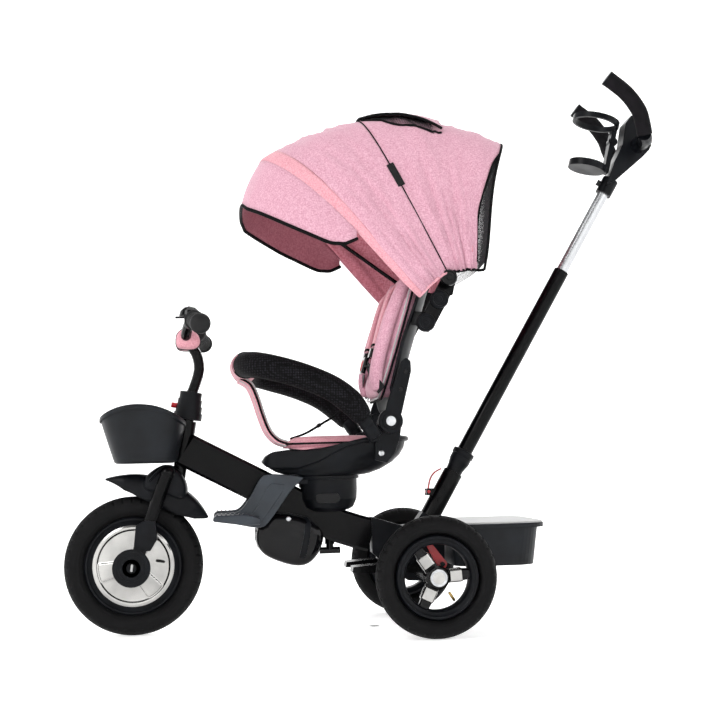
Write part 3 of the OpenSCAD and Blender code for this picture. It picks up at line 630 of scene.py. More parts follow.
def mudguard_boss():
    """Domed boss over the fork crown, with an arched lip around each leg."""
    outline = curve_through([(20, 0, 276), (25, 0, 296), (42, 0, 311), (62, 0, 318.5), (82, 0, 312),
                             (97, 0, 291), (102, 0, 268), (92, 0, 252), (60, 0, 262), (32, 0, 268),
                             (20, 0, 276)], 5)[:-1]
    rings = []
    for y, scale in ((-41, 0.5), (-40, 0.72), (-37, 0.88), (-32, 0.96), (-24, 1), (24, 1), (32, 0.96),
                     (37, 0.88), (40, 0.72), (41, 0.5)):
        rings.append([place(62 + (p.x - 62) * scale, y, 284 + (p.z - 284) * scale) for p in outline])
    boss = loft("boss", rings, SATIN_ABS, soft=True)
    lips = []
    for side in (-1, 1):
        arch = [(66 + 16.5 * math.cos(math.radians(a)) - 8 * (1 - math.sin(math.radians(a))) ** 2,
                 side * 44, 299 + 17 * math.sin(math.radians(a))) for a in range(-30, 211, 15)]
        lips.append(sweep("lip", arch, 7, 1.8, SATIN_ABS, sides=12, domed=True))
    return [boss] + lips


fit(join("mudguard_moulding", [mudguard_fins()] + mudguard_boss()), "steering", "black_plastic", "mudguard")

GRIP_OUT, GRIP_IN = Vector((133, -190, 568)), Vector((119.5, -100, 585))
for side, word in SIDES:
    outer, inner = (Vector(p) for p in mirrored((GRIP_OUT, GRIP_IN), -side))
    way = (inner - outer).normalized()
    run = [outer + way * (k - 4) for k in range(85)]

    def ribbed(t):
        if t < 0.05 or t > 0.95:
            return 18.6
        return 15 + 0.55 * math.sin(t * 2 * math.pi * 17)

    fit(sweep(f"bar_grip_{word}", run, ribbed, ribbed, GRIP_RUBBER, across=UP, sides=40, domed=True),
        "steering", "grip_rubber", *(["grips"] if side < 0 else []))

POUCH = curve_through([(84, 0, 548), (86, 0, 566), (98, 0, 576.5), (114, 0, 575), (127, 0, 564),
                       (130, 0, 549), (121, 0, 538.5), (102, 0, 537), (88, 0, 540), (84, 0, 548)], 4)[:-1]


def pouch_rings(widths, grow=0.0):
    return [[place(106 + (p.x - 106) * s * (1 + grow), y, 557 + (p.z - 557) * s * (1 + grow)) for p in POUCH]
            for y, s in widths]


pouch = loft("pouch", pouch_rings([(-32, 0.55), (-31, 0.75), (-27, 0.92), (-20, 1), (0, 1.02), (20, 1),
                                   (27, 0.92), (31, 0.75), (32, 0.55)]), PALE_PINK, soft=True)
straps = [loft("strap", pouch_rings([(y - 4, 1), (y - 3.6, 1.03), (y + 3.6, 1.03), (y + 4, 1)], 0.02),
               WEBBING)
          for y in (-14, 14)]
fit(join("bar_pouch_sewn", [subdivide(pouch, 1)] + straps), "steering", "pink_fabric", "bar_pouch")

# ---------- front basket ----------

LEAN = math.tan(math.radians(9))


def basket_point(turn, share):
    """Wall point of the basket: share 0 is the rim, 1 the floor's edge."""
    c, s = math.cos(turn), math.sin(turn)
    c = math.copysign(abs(c) ** 0.62, c)
    s = math.copysign(abs(s) ** 0.62, s)
    belly = share ** 1.25
    front, back, half = -56 + 24 * belly, 99 - 15 * belly, 93 - 30 * belly
    x = (front + back) / 2 + (back - front) / 2 * c
    y = half * s
    rim = 304 + math.sqrt(max(126 ** 2 - (x - 15) ** 2, 0))
    z = rim + (326 - rim) * share
    axis = 88 + (z - 308) * LEAN
    if abs(y) < 32:
        x = min(x, axis - math.sqrt(32 ** 2 - y * y))
    return x, y, z


def basket():
    around = 96
    rings = []
    for share in (0, 0.04, 0.12, 0.25, 0.4, 0.55, 0.7, 0.82, 0.91, 0.97, 1.0):
        rings.append([basket_point(2 * math.pi * k / around, share) for k in range(around)])
    for shrink in (0.95, 0.8, 0.5, 0.15):
        rings.append([(24 + (x - 24) * shrink, y * shrink, 324.6 if shrink > 0.9 else 324.2) for x, y,
                      z in rings[10]])
    wall = loft("wall", [[place(*p) for p in ring] for ring in rings], GREY_PP, caps=False, soft=True)
    thicken(wall, 2.6, offset=-1)
    rim_run = [basket_point(2 * math.pi * k / around, 0.0) for k in range(around)]
    lip = []
    for x, y, z in rim_run:
        lip.append([(x, y, z + 1.5), (x + 0.045 * (x - 20) + 0.6, y * 1.045, z + 1.2),
                    (x + 0.06 * (x - 20), y * 1.06, z - 2), (x + 0.06 * (x - 20), y * 1.06, z - 9),
                    (x + 0.045 * (x - 20), y * 1.045, z - 9.6), (x + 0.02 * (x - 20), y * 1.02, z - 4)])
    lip.append(lip[0])
    rolled = loft("rolled", [[place(*p) for p in ring] for ring in lip], GREY_PP, caps=False, soft=True)
    weld(rolled.data)
    return join("front_basket_moulding", [wall, subdivide(rolled, 1)])


fit(basket(), "frame", "black_plastic", "front_basket")

# ---------- footrest, pedal housing ----------

ARM = curve_through([(150, 0, 213), (152, 0, 221), (160, 0, 225.5), (180, 0, 226), (196, 0, 228),
                     (207, 0, 237), (219, 0, 254), (230, 0, 274), (240, 0, 289), (252, 0, 295),
                     (285, 0, 294), (318, 0, 289), (316, 0, 284), (304, 0, 273), (290, 0, 257),
                     (270, 0, 229), (253, 0, 207), (243, 0, 199), (226, 0, 198), (190, 0, 205),
                     (160, 0, 210), (150, 0, 213)], 3)[:-1]
PANEL = [(205, 216), (222, 222), (238, 246), (250, 270), (262, 279), (284, 276), (280, 262), (264, 240),
         (248, 218), (236, 208), (214, 210)]
CLEAR_OF_TUBE = 60


def footrest():
    parts = []
    for side in (-1, 1):
        y0, y1 = sorted((side * CLEAR_OF_TUBE, side * 74))
        # Arms, panels, treads and ribs take the lighter polypropylene copy, a painted highlight.
        parts.append(plate("arm", [(p.x, p.z) for p in ARM], y0, y1, HIGHLIGHT_PAINTED_PP, 3))
        y2, y3 = sorted((side * 73, side * 75.6))
        parts.append(plate("panel", PANEL, y2, y3, HIGHLIGHT_PAINTED_PP, 1.8))
        y4, y5 = sorted((side * 66, side * 128))
        tread = [(150, 213), (151, 220), (157, 224), (212, 224), (238, 217), (236, 205), (205, 205)]
        parts.append(plate("tread", tread, y4, y5, HIGHLIGHT_PAINTED_PP, 3))
        for k in range(7):
            x = 158 + k * 8
            parts.append(sweep("rib", [(x, side * 80, 224.4), (x, side * 120, 224.4)], 1.6, 1.4, HIGHLIGHT_PAINTED_PP,
                               across=BACK, sides=10, domed=True))
    parts.append(sweep("hinge_pin", [(300, -61, 287), (300, 61, 287)], 5, 5, ZINC, across=BACK))
    return join("footrest_moulding", parts)


fit(footrest(), "footrest", "black_plastic", "footrest")

POD = curve_through([(232, 0, 196), (229, 0, 178), (233, 0, 160), (248, 0, 143), (278, 0, 129), (308, 0, 122),
                     (330, 0, 127), (348, 0, 146), (357, 0, 172), (352, 0, 190), (330, 0, 207), (292, 0, 219),
                     (250, 0, 219), (232, 0, 196)], 4)[:-1]


def pedal_pod(side):
    """Polished housing that the two pedals fold into, crowned on its outer face."""
    rings = []
    for y, scale in ((30, 0.9), (32.4, 0.985), (36, 1.0), (46, 0.97), (51, 0.9), (53.6, 0.78), (54.8, 0.55),
                     (55.2, 0.25)):
        rings.append([place(292 + (p.x - 292) * scale, side * y, 172 + (p.z - 172) * scale) for p in POD])
    if side < 0:
        rings.reverse()
    shell = loft("shell", rings, GLOSS_ABS, soft=True)
    band = [(322, side * 40, 211), (327, side * 51, 200), (325, side * 56, 178), (319, side * 55.5, 152),
            (314, side * 50, 133), (312, side * 40, 125)]
    strap = sweep("strap", curve_through(band, 5), 6, 2.0, SATIN_ABS, across=BACK, power=4, sides=16)
    bolt = lathe("bolt", [(5, side * 50), (5, side * 53), (3.6, side * 54.4), (0.1, side * 54.6)],
                 (291, 211), ZINC, steps=24)
    return [shell, strap, bolt]


fit(join("pedal_pods", pedal_pod(-1) + pedal_pod(1)), "frame", "gloss_plastic", "pedals")

# ---------- seat ----------

SEAT_PLAN = [(243, 0), (244, 14), (250, 29), (264, 40), (290, 45), (318, 53), (345, 70), (380, 97),
             (412, 110), (440, 113), (475, 110), (502, 97), (518, 70), (525, 36), (526, 0)]
SEAT_TOP = [(243, 322), (250, 331), (262, 338), (289, 341), (330, 341), (350, 342), (375, 347), (400, 353),
            (433, 360), (480, 364), (526, 362)]
SEAT_LOW = [(243, 316), (252, 308), (265, 304), (311, 304), (348, 316), (380, 334), (400, 343), (433, 350),
            (493, 354), (526, 352)]


def seat_shell():
    """Moulded saddle with a bowl under it, open towards the turntable."""
    half = curve_through([(x, y, 0) for x, y in SEAT_PLAN], 4)
    plan = [(p.x, p.y) for p in half] + [(p.x, -p.y) for p in reversed(half[1:-1])]
    centre = 392

    def ring(scale, level, drop):
        points = []
        for x, y in plan:
            px = centre + (x - centre) * scale
            points.append(place(px, y * scale, interpolate(level, x) + drop))
        return points

    saddle = loft("saddle", [
        ring(0.93, SEAT_LOW, 4), ring(0.965, SEAT_LOW, 0.6), ring(0.99, SEAT_LOW, 1.5),
                             ring(1.0, SEAT_LOW, 4.5),
        ring(1.0, SEAT_TOP, -4), ring(0.992, SEAT_TOP, -1.2), ring(0.972, SEAT_TOP, 0),
                             ring(0.95, SEAT_TOP, -0.8),
        ring(0.9, SEAT_TOP, -5), ring(0.8, SEAT_TOP, -12), ring(0.55, [(0, 336)], 0),
                             ring(0.2, [(0, 334)], 0)],
        SATIN_ABS, soft=True)
    rings = []
    for share in (0, 0.03, 0.1, 0.25, 0.45, 0.65, 0.82, 0.93, 1.0):
        swell = math.sin(share * math.pi / 2) ** 0.8
        points = []
        for x, y in plan:
            turn = math.atan2(y, x - 371)
            reach = 58 + (3 if share else 0)
            low = (371 + reach * math.cos(turn), reach * math.sin(turn), 290.3)
            high = (centre + (x - centre) * 0.95, y * 0.95, interpolate(SEAT_LOW, x) + 4)
            z = low[2] + (high[2] - low[2]) * share ** 1.3
            points.append(place(low[0] + (high[0] - low[0]) * swell, low[1] + (high[1] - low[1]) * swell, z))
        rings.append(points)
    bowl = loft("bowl", rings, SATIN_ABS, soft=True)
    return [saddle, bowl]


UPRIGHT = [(450, 318), (472, 312), (488, 330), (498, 358), (502, 388), (494, 408), (480, 413), (465, 407),
           (457, 390), (452, 360)]


def upright(side):
    """Hinge cheek of the recline, with its bolt, and the socket of the bumper bar."""
    y0, y1 = sorted((side * 103, side * 117.4))
    cheek = plate("cheek", UPRIGHT, y0, y1, SATIN_ABS, 2.5)
    low = Vector((450, side * 132, 360))
    pull = Vector((-0.524, 0, 0.852))
    socket = sweep("socket", [low + pull * s for s in (-1, 0, 3, 12, 20, 23, 24)],
                   lambda t: 14 - 2 * abs(2 * t - 1) ** 8, lambda t: 14 - 2 * abs(2 * t - 1) ** 8,
                   SATIN_ABS, sides=28)
    y2, y3 = sorted((side * 106, side * 126))
    web = plate("web", [(440, 350), (440, 372), (456, 376), (458, 352)], y2, y3, SATIN_ABS, 2)
    bolt = lathe("bolt", [(5.2, side * 116), (5.2, side * 119.4), (3.4, side * 120.6), (0.1, side * 120.8)],
                 (462, 330), ZINC, steps=24)
    return [cheek, socket, web, bolt]


fit(join("seat_shell_moulding", seat_shell() + upright(-1) + upright(1)), "seat", "shell_plastic",
    "seat_shell")


# ---------- cushions ----------

def cushion(name, outline, low, high, crown, material, spot):
    """Closed cushion: outline is a list of (a, b) in mm, low and high its faces, crown the extra
    height of its middle. spot(a, b, c) turns its own coordinates into millimetres of the tricycle."""
    ca = sum(p[0] for p in outline) / len(outline)
    cb = sum(p[1] for p in outline) / len(outline)
    depth = high - low
    levels = [(0.0, low + 0.5), (0.5, low + 0.2), (0.9, low), (0.985, low + depth * 0.12),
              (1.0, low + depth * 0.35), (1.0, low + depth * 0.62), (0.985, high - depth * 0.14),
              (0.93, high), (0.8, high + crown * 0.5), (0.6, high + crown * 0.8), (0.3, high + crown),
              (0.0, high + crown)]
    rings = []
    for scale, c in levels:
        scale = max(scale, 0.02)
        rings.append([place(*spot(ca + (a - ca) * scale, cb + (b - cb) * scale, c)) for a, b in outline])
    return loft(name, rings, material, soft=True)


def swell(obj, most):
    """Puffs a sewn cushion with cloth pressure; no point moves more than most mm."""
    remesh = obj.modifiers.new("even", "REMESH")
    remesh.mode = "VOXEL"
    remesh.voxel_size = 0.005
    freeze(obj)
    start = [v.co.copy() for v in obj.data.vertices]
    cloth = obj.modifiers.new("filling", "CLOTH")
    cloth.settings.use_pressure = True
    cloth.settings.uniform_pressure_force = 4
    cloth.settings.effector_weights.gravity = 0
    cloth.settings.quality = 5
    cloth.point_cache.frame_start = 1
    cloth.point_cache.frame_end = 20
    for step in range(1, 21):
        bpy.context.scene.frame_set(step)
    freeze(obj)
    bpy.context.scene.frame_set(1)
    for vertex, home in zip(obj.data.vertices, start):
        move = vertex.co - home
        if move.length > most / 1000:
            vertex.co = home + move.normalized() * most / 1000
    for polygon in obj.data.polygons:
        polygon.use_smooth = True
    return subdivide(obj, 1)


def round_corners(corners, radius):
    """Outline of a polygon with its corners rounded."""
    run = []
    count = len(corners)
    for i, corner in enumerate(corners):
        corner = Vector(corner)
        back = (Vector(corners[i - 1]) - corner).normalized()
        ahead = (Vector(corners[(i + 1) % count]) - corner).normalized()
        for k in range(7):
            t = k / 6
            run.append(tuple(corner + back * radius * (1 - t) ** 2 + ahead * radius * t ** 2))
    return run


SEAT_PAD = round_corners([(289, -52), (289, 52), (398, 92), (458, 92), (458, -92), (398, -92)], 22)
seat_cushion = cushion("seat_cushion", SEAT_PAD, 342.5, 358, 3.5, PALE_PINK, lambda a, b, c: (a, b, c))
seat_cushion = swell(seat_cushion, 5)
fit(seat_cushion, "seat", "pink_fabric", "seat_pad")
for level, size, material, word in ((352, 1.9, TAPE, "piping"), (346, 1.5, LINING, "lower_piping")):
    seam = [(375 + (a - 375) * 1.012, b * 1.012, level) for a, b in SEAT_PAD]
    fit(sweep(f"seat_{word}", seam, size, size, material, across=UP, sides=10, loop=True), "seat",
        "black_webbing")

# Backrest coordinates: forward of the shell's plane (negative), across, and up along it
RECLINE = Vector((480, 0, 389))
TILT = math.radians(17)


def on_back(forward, across, up):
    return (RECLINE.x + forward * math.cos(TILT) + up * math.sin(TILT), across,
            RECLINE.z - forward * math.sin(TILT) + up * math.cos(TILT))


BACK_WIDTH = [(24, 84), (34, 104), (50, 116), (90, 121), (150, 126), (220, 127), (270, 122), (295, 108),
              (308, 88), (315, 60)]


def back_shell():
    """Moulded backrest: a curved back with forward-swept side wings and a rolled edge."""
    rings = []
    for j in range(33):
        up = 24 + 291 * j / 32
        half = interpolate(BACK_WIDTH, up)
        wing = interpolate([(24, 6), (60, 22), (150, 26), (250, 20), (315, 2)], up)
        ring = []
        for k in range(-16, 17):
            s = k / 16
            edge = abs(s) ** 3.2
            ring.append(place(*on_back(9 - 3 * abs(s) ** 2 - wing * edge,
                                       half * math.copysign(abs(s) ** 0.85, s), up)))
        rings.append(ring)
    shell = loft("shell", rings, SATIN_ABS, closed=False, soft=True)
    thicken(shell, 4, offset=0)
    parts = [shell]
    for side in (-1, 1):
        arm = [on_back(f, 0, u) for f, u in ((-14, 4), (-16, 30), (-13, 70), (-11, 112), (-4, 122),
                                             (6, 118), (12, 100), (14, 60), (16, 20), (10, -8), (-8, -12))]
        y0, y1 = sorted((side * 118, side * 127.4))
        parts.append(plate("arm", [(p[0], p[2]) for p in arm], y0, y1, SATIN_ABS, 2.5))
        disc = [(0.1, side * 118), (22.6, side * 118), (23, side * 119.5), (23, side * 126),
                (21.5, side * 127.6), (16, side * 127.8), (15, side * 126.8), (0.1, side * 126.8)]
        parts.append(lathe("disc", disc, (RECLINE.x, RECLINE.z), SATIN_ABS, steps=56))
        for u in (62, 96):
            at = on_back(2, 0, u)
            parts.append(lathe("rivet", [(4.4, side * 126.5), (4.2, side * 128.4), (0.1, side * 129)],
                               (at[0], at[2]), GLOSS_ABS, steps=20))
    return join("backrest_moulding", parts)


fit(back_shell(), "backrest", "shell_plastic", "backrest_shell")

BACK_PAD = round_corners([(-96, 40), (-112, 120), (-114, 230), (-96, 301), (96, 301), (114, 230),
                          (112, 120), (96, 40)], 20)
back_cushion = cushion("back_cushion", BACK_PAD, 4, 36, 6, PINK, lambda a, b, c: on_back(-c, a, b))
back_cushion = swell(back_cushion, 7)
fit(back_cushion, "backrest", "pink_fabric", "back_pad")
for level, size, material, word in ((24, 2.2, TAPE, "piping"), (30, 1.6, LID_PP, "pale_piping")):
    seam = [on_back(-level, a * 1.014, 170 + (b - 170) * 1.012) for a, b in BACK_PAD]
    fit(sweep(f"back_{word}", seam, size, size, material, across=(1, 0, 0.3), sides=10, loop=True),
        "backrest", "black_webbing")
for side, word in SIDES:
    bolster = [on_back(-36, side * 92, 56), on_back(-47, side * 96, 80), on_back(-51, side * 98, 130),
               on_back(-50, side * 98, 190), on_back(-44, side * 94, 240), on_back(-36, side * 86, 276)]
    wing = sweep(f"back_bolster_{word}", curve_through(bolster, 5), 13, 13, PINK,
                 across=RIGHT, sides=20, domed=True)
    fit(wing, "backrest", "pink_fabric")


def strip(name, route, wide, thick, material, across=RIGHT):
    """Flat webbing: a strap of that width and thickness along a route."""
    return sweep(name, curve_through(route, 5), wide / 2, thick / 2, material, across=across, power=6,
                 sides=20)


def harness(side):
    """Shoulder strap with its sleeve, ladder-lock buckle and waist strap."""
    y = side * 54
    parts = [strip("shoulder", [on_back(-38, y, 262), on_back(-56, y, 240), on_back(-60, y, 190),
                                on_back(-60, y, 130), on_back(-56, y * 0.9, 104),
                                on_back(-60, y * 0.45, 98)], 20, 1.8, WEBBING)]
    sleeve = sweep("sleeve", curve_through([on_back(-53, y, 252), on_back(-60, y, 236), on_back(-62, y, 190),
                                            on_back(-61, y, 140)], 5), 19, 4.2, PALE_PINK, power=3.2,
                   sides=24, domed=True)
    hem = [on_back(-61.5, y, u) for u in (137, 133)]
    parts += [sleeve, sweep("hem", hem, 19.6, 4.6, TAPE, power=3.2, sides=24)]
    buckle = [on_back(-62, y, u) for u in (128, 126, 112, 110)]
    parts.append(sweep("buckle", buckle, 14, 4.4, GLOSS_ABS, power=5, sides=28))
    parts.append(strip("waist", [on_back(-60, side * 18, 98), on_back(-56, side * 50, 88),
                                 on_back(-48, side * 92, 70), on_back(-30, side * 108, 52)], 20, 1.8,
                       WEBBING, across=UP))
    return parts


clasp = sweep("clasp", [on_back(-64, 0, u) for u in (82, 84, 112, 114)], 17, 5, GLOSS_ABS, power=4.5,
              sides=32)
button = sweep("button", [on_back(-69, 0, u) for u in (90, 104)], 8, 1.6, RED_NYLON, power=2.6, sides=24,
               domed=True)
fit(join("harness_webbing", [clasp, button] + harness(-1) + harness(1)), "backrest", "black_webbing",
    "harness")

crotch_strap = strip("strap", [(300, 0, 362), (330, 0, 372), (362, 0, 390), (392, 0, 408), (412, 0, 430)],
                     30, 3.0, PALE_PINK)
borders = [strip("border", [(300, y, 362.6), (330, y, 372.6), (362, y, 390.6), (392, y, 408.6),
                            (412, y, 430.6)], 5, 4.2, TAPE)
           for y in (-15.5, 15.5)]
slider = sweep("slider", [(352, 0, 385), (358, 0, 388.6)], 18, 4, GLOSS_ABS, power=5, sides=24)
fit(join("crotch_strap", [crotch_strap, slider] + borders), "seat", "black_webbing")

# ---------- bumper bar ----------

BUMPER = [(424, -138, 401), (402, -148, 426), (366, -152, 452), (312, -152, 475), (262, -146, 490),
          (230, -122, 498), (215, -70, 501), (211, 0, 502)]
foam_run = curve_through(both(BUMPER), 7)


def foam_girth(t):
    return 23.6 - 4.5 * max(0, abs(2 * t - 1) - 0.86) / 0.14


fit(sweep("bumper_sleeve", foam_run, foam_girth, foam_girth, SPACER_MESH, across=UP, sides=36, domed=True),
    "bumper", "black_mesh", "bumper_foam")
for side, word in SIDES:
    seam = [Vector((p.x, p.y, p.z - 23.8)) for p in foam_run[3:-3] if p.y * side > 30]
    fit(sweep(f"bumper_seam_{word}", seam, 1.3, 1.1, TAPE, sides=8, across=UP), "bumper", "black_webbing")
    cuff_run = [Vector((450, side * 132, 360)) + Vector((-0.524, 0, 0.852)) * s for s in (26, 34, 44)]
    fit(sweep(f"bumper_cuff_{word}", cuff_run, 14.5, 14.5, SATIN_ABS, across=RIGHT, sides=28, domed=True),
        "bumper", "black_plastic")
wrap_run = [p for p in foam_run if abs(p.y) < 74]
wrap = sweep("bumper_wrap", wrap_run, 25, 25, PALE_PINK, across=UP, sides=32)
ends = [sweep("end", [wrap_run[i], wrap_run[i] + Vector((0, 2.5 if i else -2.5, 0))], 25.6, 25.6, TAPE,
              across=UP, sides=32)
        for i in (0, -1)]
fit(join("bumper_wrap", [wrap] + ends), "bumper", "pink_fabric")


def crotch_panel():
    """Curved panel from the bumper down to the seat's nose, bound at both sides."""
    run = curve_through([(206, 0, 478), (224, 0, 466), (236, 0, 440), (246, 0, 408), (258, 0, 378),
                         (274, 0, 360), (291, 0, 353)], 7)
    rows = []
    for i, p in enumerate(run):
        half = interpolate([(0, 44), (0.3, 38), (0.7, 34), (1, 42)], i / (len(run) - 1))
        rows.append([place(p.x - 5 * (1 - (k / 8) ** 2), half * k / 8, p.z - 1.5 * (1 - (k / 8) ** 2))
                     for k in range(-8, 9)])
    panel = loft("crotch_panel_canvas", rows, PALE_PINK, closed=False, soft=True)
    edges = []
    for k in (-8, 8):
        out = math.copysign(1, k)
        for ahead, aside, size, material in ((0, 0.6, 2.2, TAPE), (4.6, -0.6, 1.5, LID_PP),
                                             (-4.6, -0.6, 1.5, LID_PP)):
            line = [Vector(((row[k + 8].x - AXLE_X) * 1000, row[k + 8].y * 1000 + out * aside,
                            row[k + 8].z * 1000))
                    for row in rows]
            shifted = []
            for i, p in enumerate(line):
                along = (line[min(i + 1, len(line) - 1)] - line[max(i - 1, 0)]).normalized()
                shifted.append(p + Vector((0, 1, 0)).cross(along) * ahead)
            edges.append(sweep("binding", shifted, size, size, material, sides=10, domed=True))
    return thicken(panel, 10, offset=0), join("crotch_panel_binding", edges)


panel, panel_binding = crotch_panel()
for obj in (panel, panel_binding):
    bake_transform(obj)
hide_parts("crotch_panel")

# ---------- canopy ----------

PIVOT = (590, 650)
REAR_BOW, MID_BOW, FRONT_BOW = 65.5, 115.8, 144.0    # angles of the bows' planes, in degrees
HEM = 0.985    # share of the half arch where the cloth ends
REACH = [(65.5, 303), (72, 305), (79, 311), (90, 323), (101, 336), (115.8, 355), (123, 369), (130.3, 385),
         (138, 402), (144, 417)]
SKIRT = [(65.5, 54, -23), (90, 36, -30), (115.8, 18, -33), (130, 2, -50), (144, -16, -72)]
HALF_WIDTH = 166


def folds(angle, v, depth):
    """Wrinkles: soft pleats that fan out from the pivots and fade towards the top."""
    near_side = abs(v) ** 1.5
    line = noise.noise(Vector((angle * 0.13 + v * 1.2, v * 1.1, 3.7)))
    pleat = 1 - abs(noise.noise(Vector((angle * 0.21 - v * 2.4, v * 1.3, 6.3)))) * 3.2
    fine = noise.noise(Vector((angle * 0.42 + v * 3.5, v * 4.2, 9.2)))
    cross = noise.noise(Vector((angle * 0.07, v * 5.2, 5.1)))
    pleats = max(0.0, pleat) ** 2
    return depth * (1.4 * line * (0.55 + near_side) + 1.1 * pleats * (0.45 + near_side)
                    + 0.6 * fine * (0.5 + near_side) + 0.8 * cross)


def sag(angle):
    """How far the canvas dips between two bows, as a share of its depth there."""
    for low, high in ((REAR_BOW, MID_BOW), (MID_BOW, FRONT_BOW)):
        if low <= angle <= high:
            return math.sin(math.pi * (angle - low) / (high - low))
    return 0.0


def canopy_point(angle, v, lift=0.0, wrinkle=5.0):
    """Point of the canvas: angle of the bow's plane in degrees, v from -1 at the near hem over
    the top to 1 at the far hem, lift outwards in mm."""
    turn = math.radians(90 * (1 + v))
    s, c = max(math.sin(turn), 0), math.cos(turn)
    pull = sag(angle)
    out = interpolate(REACH, angle) + lift + folds(angle, v, wrinkle * (0.3 + pull)) - 5 * pull * (1 - abs(v))
    reach = out * s ** 0.55
    spread = (7 if angle > MID_BOW else -4) * pull * abs(v)
    side = HALF_WIDTH + lift + spread + max(-4.0, folds(angle + 40, v, wrinkle * (0.2 + pull)) * 0.8)
    y = -side * math.copysign(abs(c) ** 0.5, c)
    drop = (1 - s) ** 3
    dx = interpolate([(a, x) for a, x, z in SKIRT], angle) * drop
    dz = interpolate([(a, z) for a, x, z in SKIRT], angle) * drop
    a = math.radians(angle)
    return (PIVOT[0] + reach * math.cos(a) + dx, y, PIVOT[1] + reach * math.sin(a) + dz)


def run_of(first, last, steps):
    return [first + (last - first) * k / steps for k in range(steps + 1)]


def rear_edge(v):
    """Angle at which the canvas gives way to the net: at the rear bow on top, further forward low
    on the sides."""
    low = max(0.0, abs(v) - 0.42) / 0.58
    return REAR_BOW + 11 * low ** 1.3 + 1.3 * math.sin(abs(v) * 16) * low


def canvas(name, near, far, columns, rows, material, lift=0.0, wrinkle=5.0):
    """Grid of the canvas between two angles, either of which may change over the arch."""
    grid = []
    for v in run_of(-HEM, HEM, rows):
        a, b = (edge(v) if callable(edge) else edge for edge in (near, far))
        grid.append([place(*canopy_point(angle, v, lift, wrinkle)) for angle in run_of(b, a, columns)])
    return loft(name, grid, material, closed=False, soft=True)


def cut_area(obj):
    return sum(polygon.area for polygon in obj.data.polygons)


def follow(obj):
    """Cloth between two bows: its placement is baked into its mesh, and it rides on no body."""
    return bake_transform(obj)


def canopy_side(name, near, far, columns, node):
    sheet = canvas(name, near, far, columns, 84, PINK)
    thicken(sheet, 1.4, offset=1.0, inside=CANVAS_BACK, edge=TAPE)
    follow(sheet)
    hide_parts(node)
    return sheet


canopy_side("canopy_rear_canvas", rear_edge, MID_BOW, 34, "canopy_rear_fabric")
canopy_side("canopy_front_canvas", MID_BOW, FRONT_BOW, 24, "canopy_front_fabric")


def tape_along(name, points, half_a, half_b, material=TAPE):
    return sweep(name, points, half_a, half_b, material, across=RIGHT, sides=12)


arch_steps = run_of(-HEM, HEM, 84)
seam = tape_along("canopy_mid_seam", [canopy_point(MID_BOW, v, 1.2) for v in arch_steps], 1.4, 1.3)
fit(seam, "mid_bow", "black_webbing")
tag_run = [canopy_point(MID_BOW, v, 2.6) for v in run_of(-0.77, -0.67, 6)]
fit(sweep("canopy_tag", tag_run, 2.2, 7, WEBBING, across=RIGHT, power=5, sides=16), "mid_bow",
    "black_webbing")

hem = canvas("canopy_hem_band", 140.4, 144.6, 5, 84, PALE_PINK, 2.6, 2.0)
thicken(hem, 1.6, offset=0)
fit(hem, "front_bow", "pink_fabric")
fit(tape_along("canopy_hem_seam", [canopy_point(140.3, v, 1.6, 2.0) for v in arch_steps], 0.9, 0.7, LINING),
    "front_bow", "pink_fabric")

VISOR_EDGE = [(-0.83, 421, 724), (-0.8, 398, 714), (-0.74, 371, 716), (-0.6, 298, 750), (-0.4, 245, 778),
              (-0.28, 222, 790), (-0.14, 214, 803), (0, 212, 809)]


def visor_point(v, share):
    """Peak under the front bow: share 0 at the bow, 1 at its free edge."""
    top = Vector(canopy_point(FRONT_BOW, v, 2.0, 1.0))
    x = interpolate([(abs(k), x) for k, x, z in VISOR_EDGE], abs(v))
    z = interpolate([(abs(k), z) for k, x, z in VISOR_EDGE], abs(v))
    y = math.copysign(min(abs(top.y) + 4, 166), v) if abs(v) > 0.02 else top.y
    edge = Vector((x, y, z))
    bulge = math.sin(math.pi * share) * 7
    point = top.lerp(edge, share)
    return point + Vector((-0.8 * bulge * (1 - abs(v)), math.copysign(bulge * 0.7 * abs(v), v), 0))


visor_steps = run_of(-0.83, 0.83, 60)
grid = [[place(*visor_point(v, s)) for s in run_of(1, 0, 8)] for v in visor_steps]
visor = loft("canopy_visor_canvas", grid, PINK, closed=False, soft=True)
thicken(visor, 2.0, offset=0, inside=LINING, edge=TAPE)
fit(visor, "front_bow", "pink_fabric", "canopy_visor")
free_edge = [visor_point(v, 1.0) for v in visor_steps]
fit(sweep("canopy_visor_binding", curve_through(free_edge, 2), 3.4, 3.4, TAPE, across=UP, sides=14,
          domed=True),
    "front_bow", "black_webbing")


def net(name, grid):
    """Open net of real yarns: the wires of a grid of cells about 5 mm across."""
    mesh = loft(name, grid, NET_YARN, closed=False, soft=True)
    wires = mesh.modifiers.new("yarn", "WIREFRAME")
    wires.thickness = 0.0008
    wires.use_replace = True
    freeze(mesh)
    return mesh


def side_net(side):
    grid = []
    for v in run_of(0.44, 0.975, 42):
        grid.append([place(*canopy_point(a, v * side, -1.0, 0.5)) for a in run_of(REAR_BOW, rear_edge(v), 9)])
    return net(f"net_{side}", grid)


def back_net():
    """Net window between the two sides of the rear bow."""
    grid = []
    for v in run_of(0.05, 0.97, 50):
        left, right = Vector(canopy_point(REAR_BOW, -v, -2, 0)), Vector(canopy_point(REAR_BOW, v, -2, 0))
        grid.append([place(*(left.lerp(right, k / 54) + Vector((10 * math.sin(math.pi * k / 54) * v, 0, 0))))
                     for k in range(55)])
    return net("net_back", grid)


